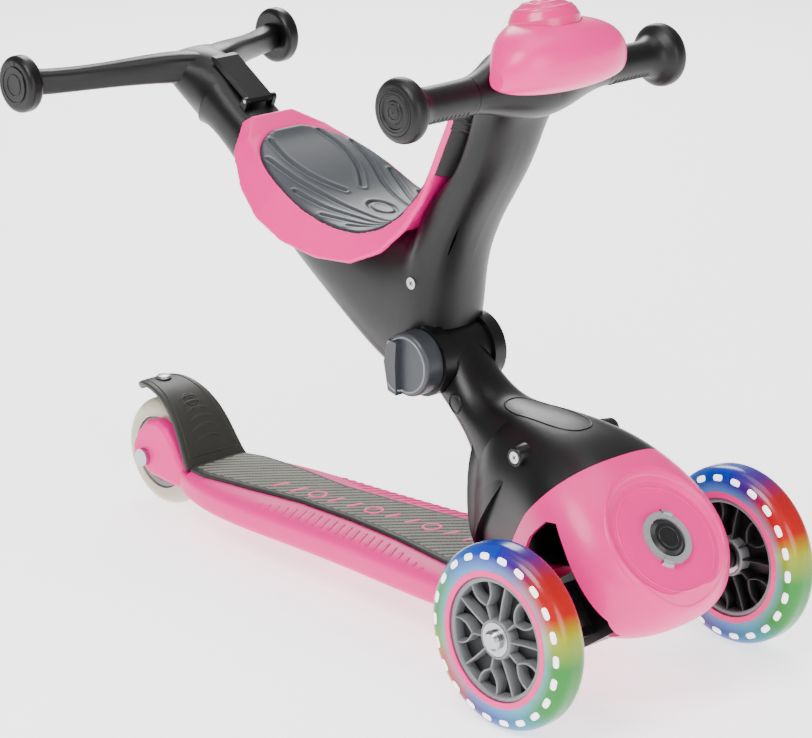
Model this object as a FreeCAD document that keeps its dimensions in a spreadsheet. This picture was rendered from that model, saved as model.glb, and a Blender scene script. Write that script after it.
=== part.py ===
"""A child's three-wheeled ride-on scooter: deck, lean-to-steer front truck, folding seat frame and T-bar.

Millimetres. +X is forward, +Y the rider's left, +Z up, and the wheels stand on z = 0.
"""
import FreeCAD, Part
import Sketcher
import math
import os
from FreeCAD import Placement, Rotation, Vector

# ------------------------------------------------------------------ driving dimensions
DIMENSIONS = {
    # wheels
    "front_axle_x": 220.75,
    "front_axle_z": 60.5,
    "front_track_half": 105.7,
    "front_wheel_radius": 60.5,
    "front_wheel_width": 24.0,
    "front_core_radius": 44.5,
    "front_face_ring_inner": 40.5,
    "rear_axle_x": -241.25,
    "rear_wheel_radius": 40.0,
    "rear_wheel_width": 24.0,
    "rear_core_radius": 27.0,
    "bearing_outer": 11.0,
    "bearing_inner": 4.0,
    "bearing_width": 7.0,
    "spacer_outer": 6.0,
    # steering truck
    "kingpin_lean": 35.0,
    "kingpin_y": 60.0,
    "kingpin_radius": 3.0,
    "knuckle_radius": 9.5,
    "knuckle_half_height": 11.6,
    "lug_gap_half": 12.0,
    "lug_thickness": 6.0,
    "steering_arm": 25.0,
    "running_gap": 0.05,
    "truck_half_width": 46.0,
    # deck
    "fork_half": 26.0,
    "fork_slot_half": 15.5,
    "mat_thickness": 2.2,
    "deck_bottom": 24.0,
    "deck_skin": 4.5,
    "rib_thickness": 3.0,
    "rib_pitch": 36.0,
    "plate_x": -38.0,
    "plate_length": 69.0,
    "plate_width": 44.0,
    # fold pivot
    "pivot_x": 57.0,
    "pivot_z": 184.0,
    "pivot_pin_radius": 6.0,
    "ear_radius": 24.0,
    "ear_inner": 17.5,
    "ear_outer": 27.5,
    "tongue_radius": 21.0,
    "tongue_half": 17.2,
    "knob_radius": 21.5,
    "knob_depth": 14.0,
    "fold_limit": 30.0,
    # rear post
    "collar_x": -153.5,
    "collar_z": 303.0,
    "post_slope": 31.8,
    "post_radius": 14.0,
    "post_wall": 2.0,
    "collar_radius": 22.0,
    "collar_end": 23.6,
    "lever_pin_along": -4.0,
    "lever_pin_normal": 24.7,
    "post_inner_end": -172.0,
    # T-bar
    "t_disc_x": -254.25,
    "t_disc_y": 116.0,
    "t_disc_z": 330.5,
    "t_disc_radius": 20.0,
    "t_disc_width": 12.0,
    # handlebar
    "bar_x": 132.5,
    "bar_z": 380.5,
    "bar_radius": 8.0,
    "grip_radius": 11.5,
    "grip_inner_y": 58.5,
    "grip_outer_y": 108.5,
    "grip_disc_radius": 20.8,
    "grip_disc_outer_y": 120.5,
    # nose
    "nose_lean": 43.0,
    "button_x": 254.9,
    "button_z": 107.3,
    "button_radius": 13.0,
    "dish_radius": 40.0,
    # head module
    "dome_x": 141.0,
    "dome_z": 417.0,
    "dome_radius": 23.0,
    "dome_lean": -12.0,
    "shell_wall": 3.0,
    # brake
    "brake_pin_x": -195.0,
    "brake_pin_z": 44.5,
    "brake_thickness": 4.5,
    "brake_gap": 3.0,
    "rivet_x": -250.0,
    "rivet_z": 92.4,
}

os.makedirs("parts", exist_ok=True)
doc = FreeCAD.newDocument("KickScooter")
sheet = doc.addObject("Spreadsheet::Sheet", "Dims")
for row, (alias, number) in enumerate(DIMENSIONS.items(), start=1):
    sheet.set(f"A{row}", alias)
    sheet.set(f"B{row}", str(number))
    sheet.setAlias(f"B{row}", alias)
doc.recompute()

NODES = {}


class Size:
    """A length that carries its value and the spreadsheet expression it comes from."""

    def __init__(self, value, text):
        self.value = value
        self.text = text

    def __add__(self, other):
        other = as_size(other)
        return Size(self.value + other.value, f"({self.text} + {other.text})")

    def __sub__(self, other):
        other = as_size(other)
        return Size(self.value - other.value, f"({self.text} - {other.text})")

    def __mul__(self, number):
        return Size(self.value * number, f"({self.text} * {number})")

    def __neg__(self):
        return Size(-self.value, f"(-1 * {self.text})")


def as_size(thing):
    """Wrap a plain number so that it can stand beside a named dimension."""
    if isinstance(thing, Size):
        return thing
    return Size(float(thing), f"({float(thing)})")


def dim(alias):
    """The named dimension, as a Size."""
    return Size(DIMENSIONS[alias], f"Dims.{alias}")


def val(alias):
    """The named dimension, as a plain number read from the spreadsheet."""
    return float(sheet.get(alias))


# ------------------------------------------------------------------ sketch and feature helpers
def origin_plane(body, role):
    """One of a body's own three origin planes."""
    return next(item for item in body.Origin.OriginFeatures if item.Role == role)


def new_sketch(body, role, shift=None):
    """A sketch on one of the body's origin planes, moved along the plane's normal by shift."""
    sketch = body.newObject("Sketcher::SketchObject", f"{body.Name}_Sketch")
    sketch.AttachmentSupport = (origin_plane(body, role), [""])
    sketch.MapMode = "FlatFace"
    if shift is not None:
        shift = as_size(shift)
        sketch.AttachmentOffset = Placement(Vector(0, 0, shift.value), Rotation())
        sketch.setExpression("AttachmentOffset.Base.z", shift.text)
    return sketch


def pin_point(sketch, geometry, vertex, x, y):
    """Hold a sketch vertex at a bound distance from the sketch origin."""
    for kind, axis, size in (("DistanceX", -2, as_size(x)), ("DistanceY", -1, as_size(y))):
        if abs(size.value) < 1e-9:
            sketch.addConstraint(Sketcher.Constraint("PointOnObject", geometry, vertex, axis))
            continue
        index = sketch.addConstraint(Sketcher.Constraint(kind, -1, 1, geometry, vertex, size.value))
        sketch.setExpression(f"Constraints[{index}]", size.text)


def draw_outline(sketch, points):
    """A closed outline through bound points; a point with a third entry starts an arc of that radius."""
    spots = [Vector(as_size(p[0]).value, as_size(p[1]).value, 0) for p in points]
    first = sketch.GeometryCount
    for i, start in enumerate(spots):
        end = spots[(i + 1) % len(spots)]
        if len(points[i]) == 3:
            sketch.addGeometry(Part.Arc(start, arc_middle(start, end, points[i][2]), end), False)
        else:
            sketch.addGeometry(Part.LineSegment(start, end), False)
    for i, point in enumerate(points):
        here = first + i
        after = first + (i + 1) % len(points)
        here_end, after_start = end_vertex(points, i), start_vertex(points, (i + 1) % len(points))
        sketch.addConstraint(Sketcher.Constraint("Coincident", here, here_end, after, after_start))
        pin_point(sketch, here, start_vertex(points, i), point[0], point[1])
        if len(point) == 3:
            sketch.addConstraint(Sketcher.Constraint("Radius", here, abs(point[2])))


def arc_middle(start, end, radius):
    """The middle point of an arc; a positive radius bulges to the right of start to end."""
    chord = end - start
    half = chord.Length / 2.0
    rise = abs(radius) - math.sqrt(radius * radius - half * half)
    side = Vector(chord.y, -chord.x, 0).normalize() * math.copysign(rise, radius)
    return (start + end) * 0.5 + side


def start_vertex(points, i):
    """Sketch arcs run anticlockwise, so a left-bulging one is stored back to front."""
    return 2 if len(points[i]) == 3 and points[i][2] < 0 else 1


def end_vertex(points, i):
    return 3 - start_vertex(points, i)


def draw_circle(sketch, x, y, radius):
    """A circle with its centre and radius bound."""
    x, y, radius = as_size(x), as_size(y), as_size(radius)
    centre = Vector(x.value, y.value, 0)
    index = sketch.addGeometry(Part.Circle(centre, Vector(0, 0, 1), radius.value), False)
    rule = sketch.addConstraint(Sketcher.Constraint("Radius", index, radius.value))
    sketch.setExpression(f"Constraints[{rule}]", radius.text)
    pin_point(sketch, index, 3, x, y)


def new_body(label):
    body = doc.addObject("PartDesign::Body", label)
    body.Label = label
    return body


def add_pad(body, sketch, length, midplane=False, reverse=False):
    pad = body.newObject("PartDesign::Pad", f"{body.Name}_Pad")
    pad.Profile = sketch
    length = as_size(length)
    pad.Length = length.value
    pad.setExpression("Length", length.text)
    pad.Midplane = midplane
    pad.Reversed = reverse
    doc.recompute()
    return pad


def add_pocket(body, sketch, length, midplane=False, reverse=False):
    """A pocket, checked to have removed material."""
    before = body.Shape.Volume
    pocket = body.newObject("PartDesign::Pocket", f"{body.Name}_Pocket")
    pocket.Profile = sketch
    length = as_size(length)
    pocket.Length = length.value
    pocket.setExpression("Length", length.text)
    pocket.Midplane = midplane
    pocket.Reversed = reverse
    doc.recompute()
    if body.Shape.Volume > before - 1e-3:
        raise RuntimeError(f"{body.Label}: a pocket removed nothing")
    return pocket


def add_polar(body, feature, axis_role, count):
    """Repeat a feature around one of the body's origin axes."""
    pattern = body.newObject("PartDesign::PolarPattern", f"{body.Name}_Polar")
    pattern.Originals = [feature]
    pattern.Axis = (origin_plane(body, axis_role), [""])
    pattern.Angle = 360
    pattern.Occurrences = count
    body.Tip = pattern
    doc.recompute()
    return pattern


def fillet_edges(body, radius, choose):
    """Round the tip's edges whose bounding box passes choose."""
    base = body.Tip
    names = [f"Edge{i + 1}" for i, edge in enumerate(base.Shape.Edges) if choose(edge.BoundBox)]
    fillet = body.newObject("PartDesign::Fillet", f"{body.Name}_Fillet")
    fillet.Base = (base, names)
    fillet.Radius = radius
    doc.recompute()


def place(item, x=0, y=0, z=0, rotation=None):
    """Put an object at bound coordinates."""
    sizes = [as_size(x), as_size(y), as_size(z)]
    item.Placement = Placement(Vector(*[s.value for s in sizes]), rotation or Rotation())
    for letter, size in zip("xyz", sizes):
        item.setExpression(f"Placement.Base.{letter}", size.text)
    return item


def keep(item):
    """Register a finished sub-part under its own label."""
    NODES[item.Label] = item
    return item


def turned(label, outline, stored=True):
    """A turned piece: outline points are (radius, distance along the piece's own Y axis)."""
    body = new_body(label)
    sketch = new_sketch(body, "XY_Plane")
    draw_outline(sketch, outline)
    spin = body.newObject("PartDesign::Revolution", f"{label}_Spin")
    spin.Profile = sketch
    spin.ReferenceAxis = (sketch, ["V_Axis"])
    spin.Angle = 360
    doc.recompute()
    return keep(body) if stored else body


def feature(label, shape):
    """A sub-part whose shape is made with Part's own functions."""
    item = doc.addObject("Part::Feature", label)
    item.Label = label
    item.Shape = shape
    return keep(item)


def copies(label, pattern, placements):
    """Several identical loose pieces in one sub-part."""
    base = pattern.Shape.copy()
    base.Placement = Placement()
    solids = []
    for spot in placements:
        solid = base.copy()
        solid.Placement = spot
        solids.append(solid)
    return feature(label, Part.makeCompound(solids))


# ------------------------------------------------------------------ free-form helpers
def oval(centre, across, upward, half_across, half_up, power=2.3, count=28):
    """A smooth closed superellipse in the plane of two unit directions."""
    points = []
    for k in range(count):
        angle = 2 * math.pi * k / count
        c, s = math.cos(angle), math.sin(angle)
        u = math.copysign(abs(c) ** (2 / power), c) * half_across
        v = math.copysign(abs(s) ** (2 / power), s) * half_up
        points.append(centre + across * u + upward * v)
    curve = Part.BSplineCurve()
    curve.interpolate(points, PeriodicFlag=True)
    return Part.Wire([curve.toShape()])


def span_section(low, high, half_width, power=2.3, shrink=0.0):
    """An oval that spans two points of the side view, and half_width to each side."""
    low, high = Vector(low[0], 0, low[1]), Vector(high[0], 0, high[1])
    upward = high - low
    half_up = upward.Length / 2 - shrink
    upward.normalize()
    return oval((low + high) * 0.5, Vector(0, 1, 0), upward, half_width - shrink, half_up, power)


def span_loft(sections, power=2.3, shrink=0.0):
    """A smooth solid through side-view spans (low, high, half width)."""
    return Part.makeLoft([span_section(*s, power=power, shrink=shrink) for s in sections], True, False)


def y_section(x, y, z, half_x, half_z, power=2.0):
    """An oval in a plane across the Y axis."""
    return oval(Vector(x, y, z), Vector(1, 0, 0), Vector(0, 0, 1), half_x, half_z, power)


def side_prism(points, y0, y1):
    """A straight prism of a side-view outline between two Y positions."""
    spots = [Vector(x, y0, z) for x, z in points]
    face = Part.Face(Part.makePolygon(spots + spots[:1]))
    return face.extrude(Vector(0, y1 - y0, 0))


def y_rod(x, z, radius, y0, y1):
    """A cylinder along Y."""
    return Part.makeCylinder(radius, y1 - y0, Vector(x, y0, z), Vector(0, 1, 0))


def mirrored(shape):
    """The piece on the other side of the object's middle plane."""
    return shape.mirror(Vector(0, 0, 0), Vector(0, 1, 0))


def main_solid(shape):
    """The largest solid of a boolean's result."""
    return max(shape.Solids, key=lambda solid: solid.Volume)


# ------------------------------------------------------------------ wheels
def rounded_rim(inner, outer, half, corner):
    """Half section of a tyre: two rounded shoulders between the inner and outer radius."""
    inner, outer, half = as_size(inner), as_size(outer), as_size(half)
    return [
        (inner, -half),
        (outer - corner, -half, corner * 1.0001),
        (outer, -half + corner),
        (outer, half - corner, corner * 1.0001),
        (outer - corner, half),
        (inner, half),
    ]


def tube_outline(inner, outer, low, high):
    return [(inner, low), (outer, low), (outer, high), (inner, high)]


def wheel(prefix, radius, core_radius, width, windows):
    """Tyre, spoked core, bearings and spacer on one axle; the axle runs along Y."""
    half = width * 0.5
    gap = dim("running_gap")
    hub = dim("bearing_outer")
    tyre = turned(f"{prefix}_tyre", rounded_rim(core_radius, radius, half, 9.0))
    core_half = half - 1.0
    core = new_body(f"{prefix}_core")
    sketch = new_sketch(core, "XY_Plane")
    rim_inner = core_radius - 8.0
    web = as_size(4.0)
    draw_outline(sketch, [
        (hub, -core_half), (hub + 3.0, -core_half), (hub + 3.0, -web), (rim_inner, -web),
        (rim_inner, -core_half), (core_radius, -core_half), (core_radius, core_half),
        (rim_inner, core_half), (rim_inner, web), (hub + 3.0, web), (hub + 3.0, core_half), (hub, core_half),
    ])
    spin = core.newObject("PartDesign::Revolution", f"{core.Name}_Spin")
    spin.Profile = sketch
    spin.ReferenceAxis = (sketch, ["V_Axis"])
    spin.Angle = 360
    doc.recompute()
    window = new_sketch(core, "XZ_Plane")
    middle = (rim_inner.value + hub.value + 3.0) / 2
    draw_circle(window, 0, middle, (rim_inner.value - hub.value - 3.0) / 2 - 2.0)
    cut = add_pocket(core, window, width, midplane=True)
    add_polar(core, cut, "Y_Axis", windows)
    keep(core)
    bearing_inset = core_half - dim("bearing_width")
    bearing = turned(
        f"{prefix}_bearing_pattern",
        tube_outline(dim("bearing_inner") + gap, hub - 0.02, bearing_inset, core_half), stored=False)
    flip = Rotation(Vector(0, 0, 1), 180)
    spots = [Placement(), Placement(Vector(0, 0, 0), flip)]
    bearings = copies(f"{prefix}_bearings", bearing, spots)
    spacer = turned(
        f"{prefix}_spacer",
        tube_outline(dim("bearing_inner") + gap, dim("spacer_outer"), -bearing_inset, bearing_inset))
    return [tyre, core, bearings, spacer]


def front_wheel(side, sign):
    """A light-up front wheel: the clear tyre's core also carries trim rings and a ring of lamps."""
    prefix = f"front_{side}"
    y = dim("front_track_half") * sign
    pieces = wheel(prefix, dim("front_wheel_radius"), dim("front_core_radius"),
                   dim("front_wheel_width"), 6)
    half = dim("front_wheel_width") * 0.5
    ring = turned(f"{prefix}_trim_pattern", tube_outline(
        dim("front_face_ring_inner"), dim("front_core_radius"), half - 1.0, half + 0.2), stored=False)
    flip = Rotation(Vector(0, 0, 1), 180)
    pieces.append(copies(f"{prefix}_trim_rings", ring, [Placement(), Placement(Vector(), flip)]))
    lamps = turned(f"{prefix}_light_unit", tube_outline(
        dim("bearing_outer") - 4.6, dim("bearing_outer") - 0.4, -as_size(3.0), as_size(3.0)))
    pieces.append(lamps)
    for piece in pieces:
        place(piece, dim("front_axle_x"), y, dim("front_axle_z"))


def rear_wheel():
    for piece in wheel("rear", dim("rear_wheel_radius"), dim("rear_core_radius"),
                       dim("rear_wheel_width"), 5):
        place(piece, dim("rear_axle_x"), 0, dim("rear_wheel_radius"))


def bolt(label, shank, head, head_length, y0, y1, stored=True):
    """A dome-headed bolt along +Y whose head lies beyond y1."""
    return turned(label, [
        (0, y0), (shank, y0), (shank, y1), (head, y1), (head, y1 + head_length * 0.5),
        (head * 0.75, y1 + head_length), (0, y1 + head_length),
    ], stored)


# ------------------------------------------------------------------ lean-to-steer truck
def truck_turn():
    """The leaning frame of the kingpins, whose Z axis is the steering axis."""
    return Rotation(Vector(0, 1, 0), -val("kingpin_lean"))


def truck_body():
    """Moulded crossmember with two pairs of lugs that hold the kingpins."""
    body = new_body("truck_body")
    block = new_sketch(body, "XY_Plane")
    half = dim("truck_half_width")
    draw_outline(block, [(-13, -half), (30, -half), (30, half), (-13, half)])
    add_pad(body, block, 46, midplane=True)
    outer = dim("lug_gap_half") + dim("lug_thickness")
    for sign in (-1, 1):
        lug = new_sketch(body, "XY_Plane")
        edge = dim("kingpin_y") * sign
        draw_outline(lug, [(-10, half * (sign * 0.9)), (10, half * (sign * 0.9)), (10, edge),
                           (5, edge + 8.6 * sign), (-5, edge + 8.6 * sign), (-10, edge)])
        add_pad(body, lug, outer * 2, midplane=True)
        room = new_sketch(body, "XY_Plane")
        draw_outline(room, [(-34, half * sign + 1.2 * sign), (34, half * sign + 1.2 * sign),
                            (34, edge + 14 * sign), (-34, edge + 14 * sign)])
        add_pocket(body, room, dim("lug_gap_half") * 2, midplane=True)
        bore = new_sketch(body, "XY_Plane")
        draw_circle(bore, 0, edge, dim("kingpin_radius") + dim("running_gap"))
        add_pocket(body, bore, outer * 4, midplane=True)
    neck_room = new_sketch(body, "XZ_Plane")
    draw_circle(neck_room, 6, 0, 8)
    add_pocket(body, neck_room, 60, midplane=True)
    fillet_edges(body, 6.0, lambda b: b.YLength > 80 and b.ZMin < -22 and b.ZLength < 1)
    keep(body)
    place(body, dim("front_axle_x"), 0, dim("front_axle_z"), truck_turn())
    doc.recompute()
    return body.Shape.copy()


def knuckle(side, sign):
    """Steering knuckle: a barrel on the kingpin, a stub towards the wheel and an arm to the tie rod."""
    body = new_body(f"knuckle_{side}")
    barrel = new_sketch(body, "XY_Plane")
    draw_circle(barrel, 0, 0, dim("knuckle_radius"))
    add_pad(body, barrel, dim("knuckle_half_height") * 2, midplane=True)
    stub = new_sketch(body, "XZ_Plane")
    draw_circle(stub, 0, 0, 8.0)
    reach = dim("front_track_half") - dim("kingpin_y") - dim("front_wheel_width") * 0.5 - 0.4
    add_pad(body, stub, reach, reverse=sign > 0)
    arm = new_sketch(body, "XY_Plane")
    length = dim("steering_arm")
    draw_outline(arm, [(-6, -6), (0, -6), (0, 6), (-6, 6), (-length, 6), (-length - 6, 0), (-length, -6)])
    add_pad(body, arm, 8, midplane=True)
    post = new_sketch(body, "XY_Plane")
    draw_circle(post, -length, 0, dim("kingpin_radius"))
    add_pad(body, post, 11.5)
    bore = new_sketch(body, "XY_Plane")
    draw_circle(bore, 0, 0, dim("kingpin_radius") + dim("running_gap"))
    add_pocket(body, bore, dim("knuckle_half_height") * 3, midplane=True)
    axle = new_sketch(body, "XZ_Plane", shift=as_size(5.0) * -sign)
    draw_circle(axle, 0, 0, dim("bearing_inner"))
    add_pocket(body, axle, 60, reverse=sign < 0)
    keep(body)
    place(body, dim("front_axle_x"), dim("kingpin_y") * sign, dim("front_axle_z"), truck_turn())


def steering():
    """Truck, two knuckles, the wheels' axle bolts, the kingpins and the tie rod; returns the truck's shape."""
    truck = truck_body()
    for side, sign in (("left", 1), ("right", -1)):
        knuckle(side, sign)
        shank_end = dim("front_track_half") + dim("front_wheel_width") * 0.5 - 0.8
        axle = bolt(f"axle_bolt_{side}", dim("bearing_inner"), as_size(6.5), as_size(4.6),
                    dim("kingpin_y") + 5.2, shank_end)
        turn = Rotation() if sign > 0 else Rotation(Vector(1, 0, 0), 180)
        place(axle, dim("front_axle_x"), 0, dim("front_axle_z"), turn)
    pin = turned("kingpin_pattern", [
        (0, -20), (5, -20), (5, -18.1), (dim("kingpin_radius"), -18.1),
        (dim("kingpin_radius"), 18.1), (5, 18.1), (5, 20), (0, 20)], stored=False)
    stand = truck_turn().multiply(Rotation(Vector(1, 0, 0), 90))
    middle = Vector(val("front_axle_x"), 0, val("front_axle_z"))
    aside = Vector(0, val("kingpin_y"), 0)
    copies("kingpins", pin, [Placement(middle + aside * sign, stand) for sign in (-1, 1)])
    rod = new_body("tie_rod")
    bar = new_sketch(rod, "XY_Plane", shift=as_size(4.6))
    length, reach = dim("steering_arm"), dim("kingpin_y")
    draw_outline(bar, [(-length - 5, -reach), (-length, -reach - 6), (-length + 5, -reach),
                       (-length + 5, reach), (-length, reach + 6), (-length - 5, reach)])
    add_pad(rod, bar, 5)
    for sign, slack in ((1, 0.05), (-1, 0.35)):
        hole = new_sketch(rod, "XY_Plane", shift=as_size(4.0))
        draw_circle(hole, -length, reach * sign, dim("kingpin_radius") + slack)
        add_pocket(rod, hole, 8, reverse=True)
    keep(rod)
    place(rod, dim("front_axle_x"), 0, dim("front_axle_z"), truck_turn())
    return truck


# ------------------------------------------------------------------ deck
DECK_SECTIONS = [
    # x, bottom z, top z, half width
    (-200.0, 23.0, 43.0, 27.0),
    (-178.0, 21.0, 44.0, 36.0),
    (-135.0, 20.5, 46.0, 44.5),
    (-80.0, 22.0, 48.0, 47.5),
    (-20.0, 24.0, 50.5, 50.0),
    (40.0, 25.5, 52.5, 54.0),
    (100.0, 27.0, 54.0, 57.5),
    (148.0, 30.0, 54.0, 55.0),
]


def x_loft(sections, power, lift=0.0, shrink=0.0):
    """A smooth solid through ovals that stand across the X axis."""
    wires = []
    for x, low, high, half in sections:
        room = min(shrink, (high - low) * 0.25, half * 0.5)
        centre = Vector(x, 0, (low + high) / 2 + lift)
        wires.append(oval(centre, Vector(0, 1, 0), Vector(0, 0, 1), half - room, (high - low) / 2 - room, power))
    return Part.makeLoft(wires, True, False)


def plan_prism(points, z0, z1):
    """A straight prism of a symmetric plan outline, given along its left side from back to front."""
    spots = [Vector(x, y, z0) for x, y in points] + [Vector(x, -y, z0) for x, y in reversed(points)]
    return Part.Face(Part.makePolygon(spots + spots[:1])).extrude(Vector(0, 0, z1 - z0))


def deck_cells(form):
    """The pockets between the ribs under the deck; one plate in the middle stays solid."""
    inner = [(x, -5.0, high - val("deck_skin"), half - val("deck_skin") * 1.5)
             for x, low, high, half in DECK_SECTIONS]
    room = x_loft(inner, 4.0).common(Part.makeBox(val("rib_pitch") * 8, 200, 90, Vector(-164, -100, -20)))
    rib = val("rib_thickness")
    ribs = [Part.makeBox(400, rib, 120, Vector(-200, -rib / 2, -20))]
    for k in range(9):
        ribs.append(Part.makeBox(rib, 200, 120, Vector(-164 + k * val("rib_pitch") - rib / 2, -100, -20)))
    plate = Part.makeBox(val("plate_length"), val("plate_width"), 120,
                         Vector(val("plate_x") - val("plate_length") / 2, -val("plate_width") / 2, -20))
    return room.cut(ribs + [plate])


def deck(truck):
    """Waisted deck with a rear fork around the wheel, a front tongue, and the rubber mat on top."""
    form = x_loft(DECK_SECTIONS, 4.0).cut(Part.makeBox(600, 200, val("deck_bottom"), Vector(-300, -100, 0)))
    half, slot = val("fork_half"), val("fork_slot_half")
    pin_x, pin_z = val("brake_pin_x"), val("brake_pin_z")
    arm = side_prism([(-256, 47), (-256, 38), (-236, 27), (-206, 25), (-186, 25), (-180, 40), (-197, 40),
                      (-203, 47), (-211, 59), (-219, 67), (-229, 70.5), (-240, 68), (-250, 58)], slot, half)
    arm = arm.makeFillet(4.0, [e for e in arm.Edges if e.BoundBox.YMin > half - 0.1 and e.BoundBox.XMax < -190])
    arm = arm.fuse(y_rod(pin_x, pin_z, 2.8, slot, 21.0))
    tongue = Part.makeBox(74, 60, 9, Vector(144, -30, 35))
    wheel_room = Part.makeBox(110, 2 * slot, 90, Vector(-300, -slot, 0))
    brake_room = Part.makeBox(30, 62, 30, Vector(-218.4, -31, 40))
    axle = y_rod(val("rear_axle_x"), val("rear_wheel_radius"), val("bearing_inner"), -60, 60)
    pin = y_rod(pin_x, pin_z, 1.5, -60, 60)
    body = form.cut(brake_room).fuse([arm, mirrored(arm), tongue])
    body = main_solid(body.cut([wheel_room, axle, pin, truck, deck_cells(form)]))
    feature("deck", body)
    mat_plan = [(-188.6, 26), (-170, 29.5), (-124, 27), (-73, 22), (-20, 24), (34, 29), (88, 37), (116, 39)]
    raised = x_loft(DECK_SECTIONS, 4.0, lift=val("mat_thickness"))
    mat = main_solid(raised.common(plan_prism(mat_plan, 38, 70)).cut(form))
    feature("deck_mat", mat)
    return body, mat


def rear_axle():
    """Rear axle bolt with its nut."""
    pin = bolt("rear_axle_pin", dim("bearing_inner"), as_size(6.5), as_size(4.0),
               -dim("fork_half") - 4.0, dim("fork_half") + 0.1, stored=False)
    nut = turned("rear_axle_nut", tube_outline(dim("bearing_inner"), 6.5, -dim("fork_half") - 4.0,
                                               -dim("fork_half") - 0.1), stored=False)
    spot = Placement(Vector(val("rear_axle_x"), 0, val("rear_wheel_radius")), Rotation())
    joined = pin.Shape.fuse(nut.Shape)
    joined.Placement = spot
    feature("rear_axle", main_solid(joined))


# ------------------------------------------------------------------ rear brake
BRAKE_SECTIONS = [
    # x, top z, half width
    (-189.2, 44.0, 28.0),
    (-197.0, 55.5, 26.0),
    (-206.0, 69.5, 24.0),
    (-217.0, 81.0, 22.0),
    (-232.0, 89.5, 19.5),
    (-248.0, 92.5, 17.0),
    (-260.0, 91.0, 14.5),
    (-268.0, 86.0, 9.0),
]


def brake():
    """Foot brake: a curved fender over the rear wheel on a cross pin, with its pad and rivet."""
    thickness = val("brake_thickness")
    wires = []
    last = len(BRAKE_SECTIONS) - 1
    for i, (x, z, half) in enumerate(BRAKE_SECTIONS):
        before, after = BRAKE_SECTIONS[max(i - 1, 0)], BRAKE_SECTIONS[min(i + 1, last)]
        along = Vector(after[0] - before[0], 0, after[1] - before[1]).normalize()
        up = Vector(along.z, 0, -along.x)
        centre = Vector(x, 0, z) - up * thickness * 0.5
        wires.append(oval(centre, Vector(0, 1, 0), up, half, thickness * 0.5, 5.0))
    blade = Part.makeLoft(wires, True, False)
    x, z = val("brake_pin_x"), val("brake_pin_z")
    rivet_spot = Vector(val("rivet_x"), 0, val("rivet_z"))
    barrel = y_rod(x, z, 3.2, -13.0, 13.0)
    lug_rooms = [y_rod(x, z, 3.2, a, b) for a, b in ((15.1, 21.5), (-21.5, -15.1))]
    boss = Part.makeCylinder(6.0, 5.0, rivet_spot - Vector(0, 0, 7.5), Vector(0, 0, 1))
    pad_shape = side_prism([(-211, 74), (-216, 81), (-232, 89), (-240, 91), (-244, 84), (-214, 70)], -9, 9)
    wheel_clear = y_rod(val("rear_axle_x"), val("rear_wheel_radius"),
                        val("rear_wheel_radius") + val("brake_gap"), -20, 20)
    fender = blade.fuse([barrel, boss]).cut(lug_rooms + [y_rod(x, z, 1.55, -50, 50), wheel_clear])
    fender = fender.cut(Part.makeCylinder(3.0, 24, rivet_spot - Vector(0, 0, 12), Vector(0, 0, 1)))
    fender = main_solid(fender)
    feature("brake_fender", fender)
    feature("brake_pad", main_solid(pad_shape.cut([blade, wheel_clear])))
    rivet = turned("brake_rivet", [(0, -7.5), (2.95, -7.5), (2.95, 0.9), (6.0, 0.9), (4.5, 2.3), (0, 2.7)])
    upright = Rotation(Vector(1, 0, 0), 90)
    place(rivet, dim("rivet_x"), 0, dim("rivet_z"), upright)
    feature("brake_pin", y_rod(x, z, 1.5, -24.0, 24.0))


# ------------------------------------------------------------------ neck and nose
NOSE_SECTIONS = [
    # x, bottom z, top z, half width
    (108.0, 54.3, 160.0, 34.0),
    (130.0, 53.0, 164.0, 42.5),
    (150.0, 49.0, 165.0, 48.5),
    (172.0, 45.0, 163.5, 54.0),
    (192.0, 41.5, 159.5, 59.5),
    (212.0, 40.0, 152.0, 63.0),
    (232.0, 39.5, 141.0, 64.0),
    (250.0, 42.5, 127.0, 60.0),
    (264.0, 49.0, 113.0, 50.0),
    (274.0, 58.5, 101.0, 35.0),
    (279.0, 68.0, 92.0, 17.0),
]


def lock_frame():
    """Centre of the steering lock and the direction it faces."""
    lean = math.radians(val("nose_lean"))
    return Vector(val("button_x"), 0, val("button_z")), Vector(math.cos(lean), 0, math.sin(lean))


def nose_form(shrink=0.0):
    """The egg of the truck's front with a shallow dish round the lock; shrink leaves a wall of that thickness."""
    sections = [(x - (shrink if x > 240 else 0), low, high, half) for x, low, high, half in NOSE_SECTIONS]
    spot, facing = lock_frame()
    dish = Part.makeCone(val("dish_radius"), val("dish_radius") + 40.0, 20.0,
                         spot - facing * (0.55 + shrink), facing)
    return x_loft(sections, 2.4, shrink=shrink).cut(dish)


NECK_SECTIONS = [
    # low and high points of the side view, half width
    ((50.0, 164.0), (70.0, 199.0), 18.0),
    ((64.0, 153.5), (87.0, 182.0), 22.0),
    ((78.0, 145.5), (104.0, 168.5), 25.0),
    ((92.0, 131.5), (122.0, 165.0), 28.5),
    ((102.0, 112.0), (142.0, 165.0), 34.0),
    ((108.0, 88.0), (160.0, 164.0), 42.0),
    ((111.0, 60.0), (176.0, 162.0), 50.0),
]

NECK_HOLLOW_END = ((110.2, 67.0), (172.2, 162.4), 48.2)

COLLAR_BORDER = [(232, 215), (224, 168), (216, 156), (196, 132), (184, 118), (170, 96), (160, 76), (150, 20),
                 (20, 20), (20, 215)]


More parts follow.
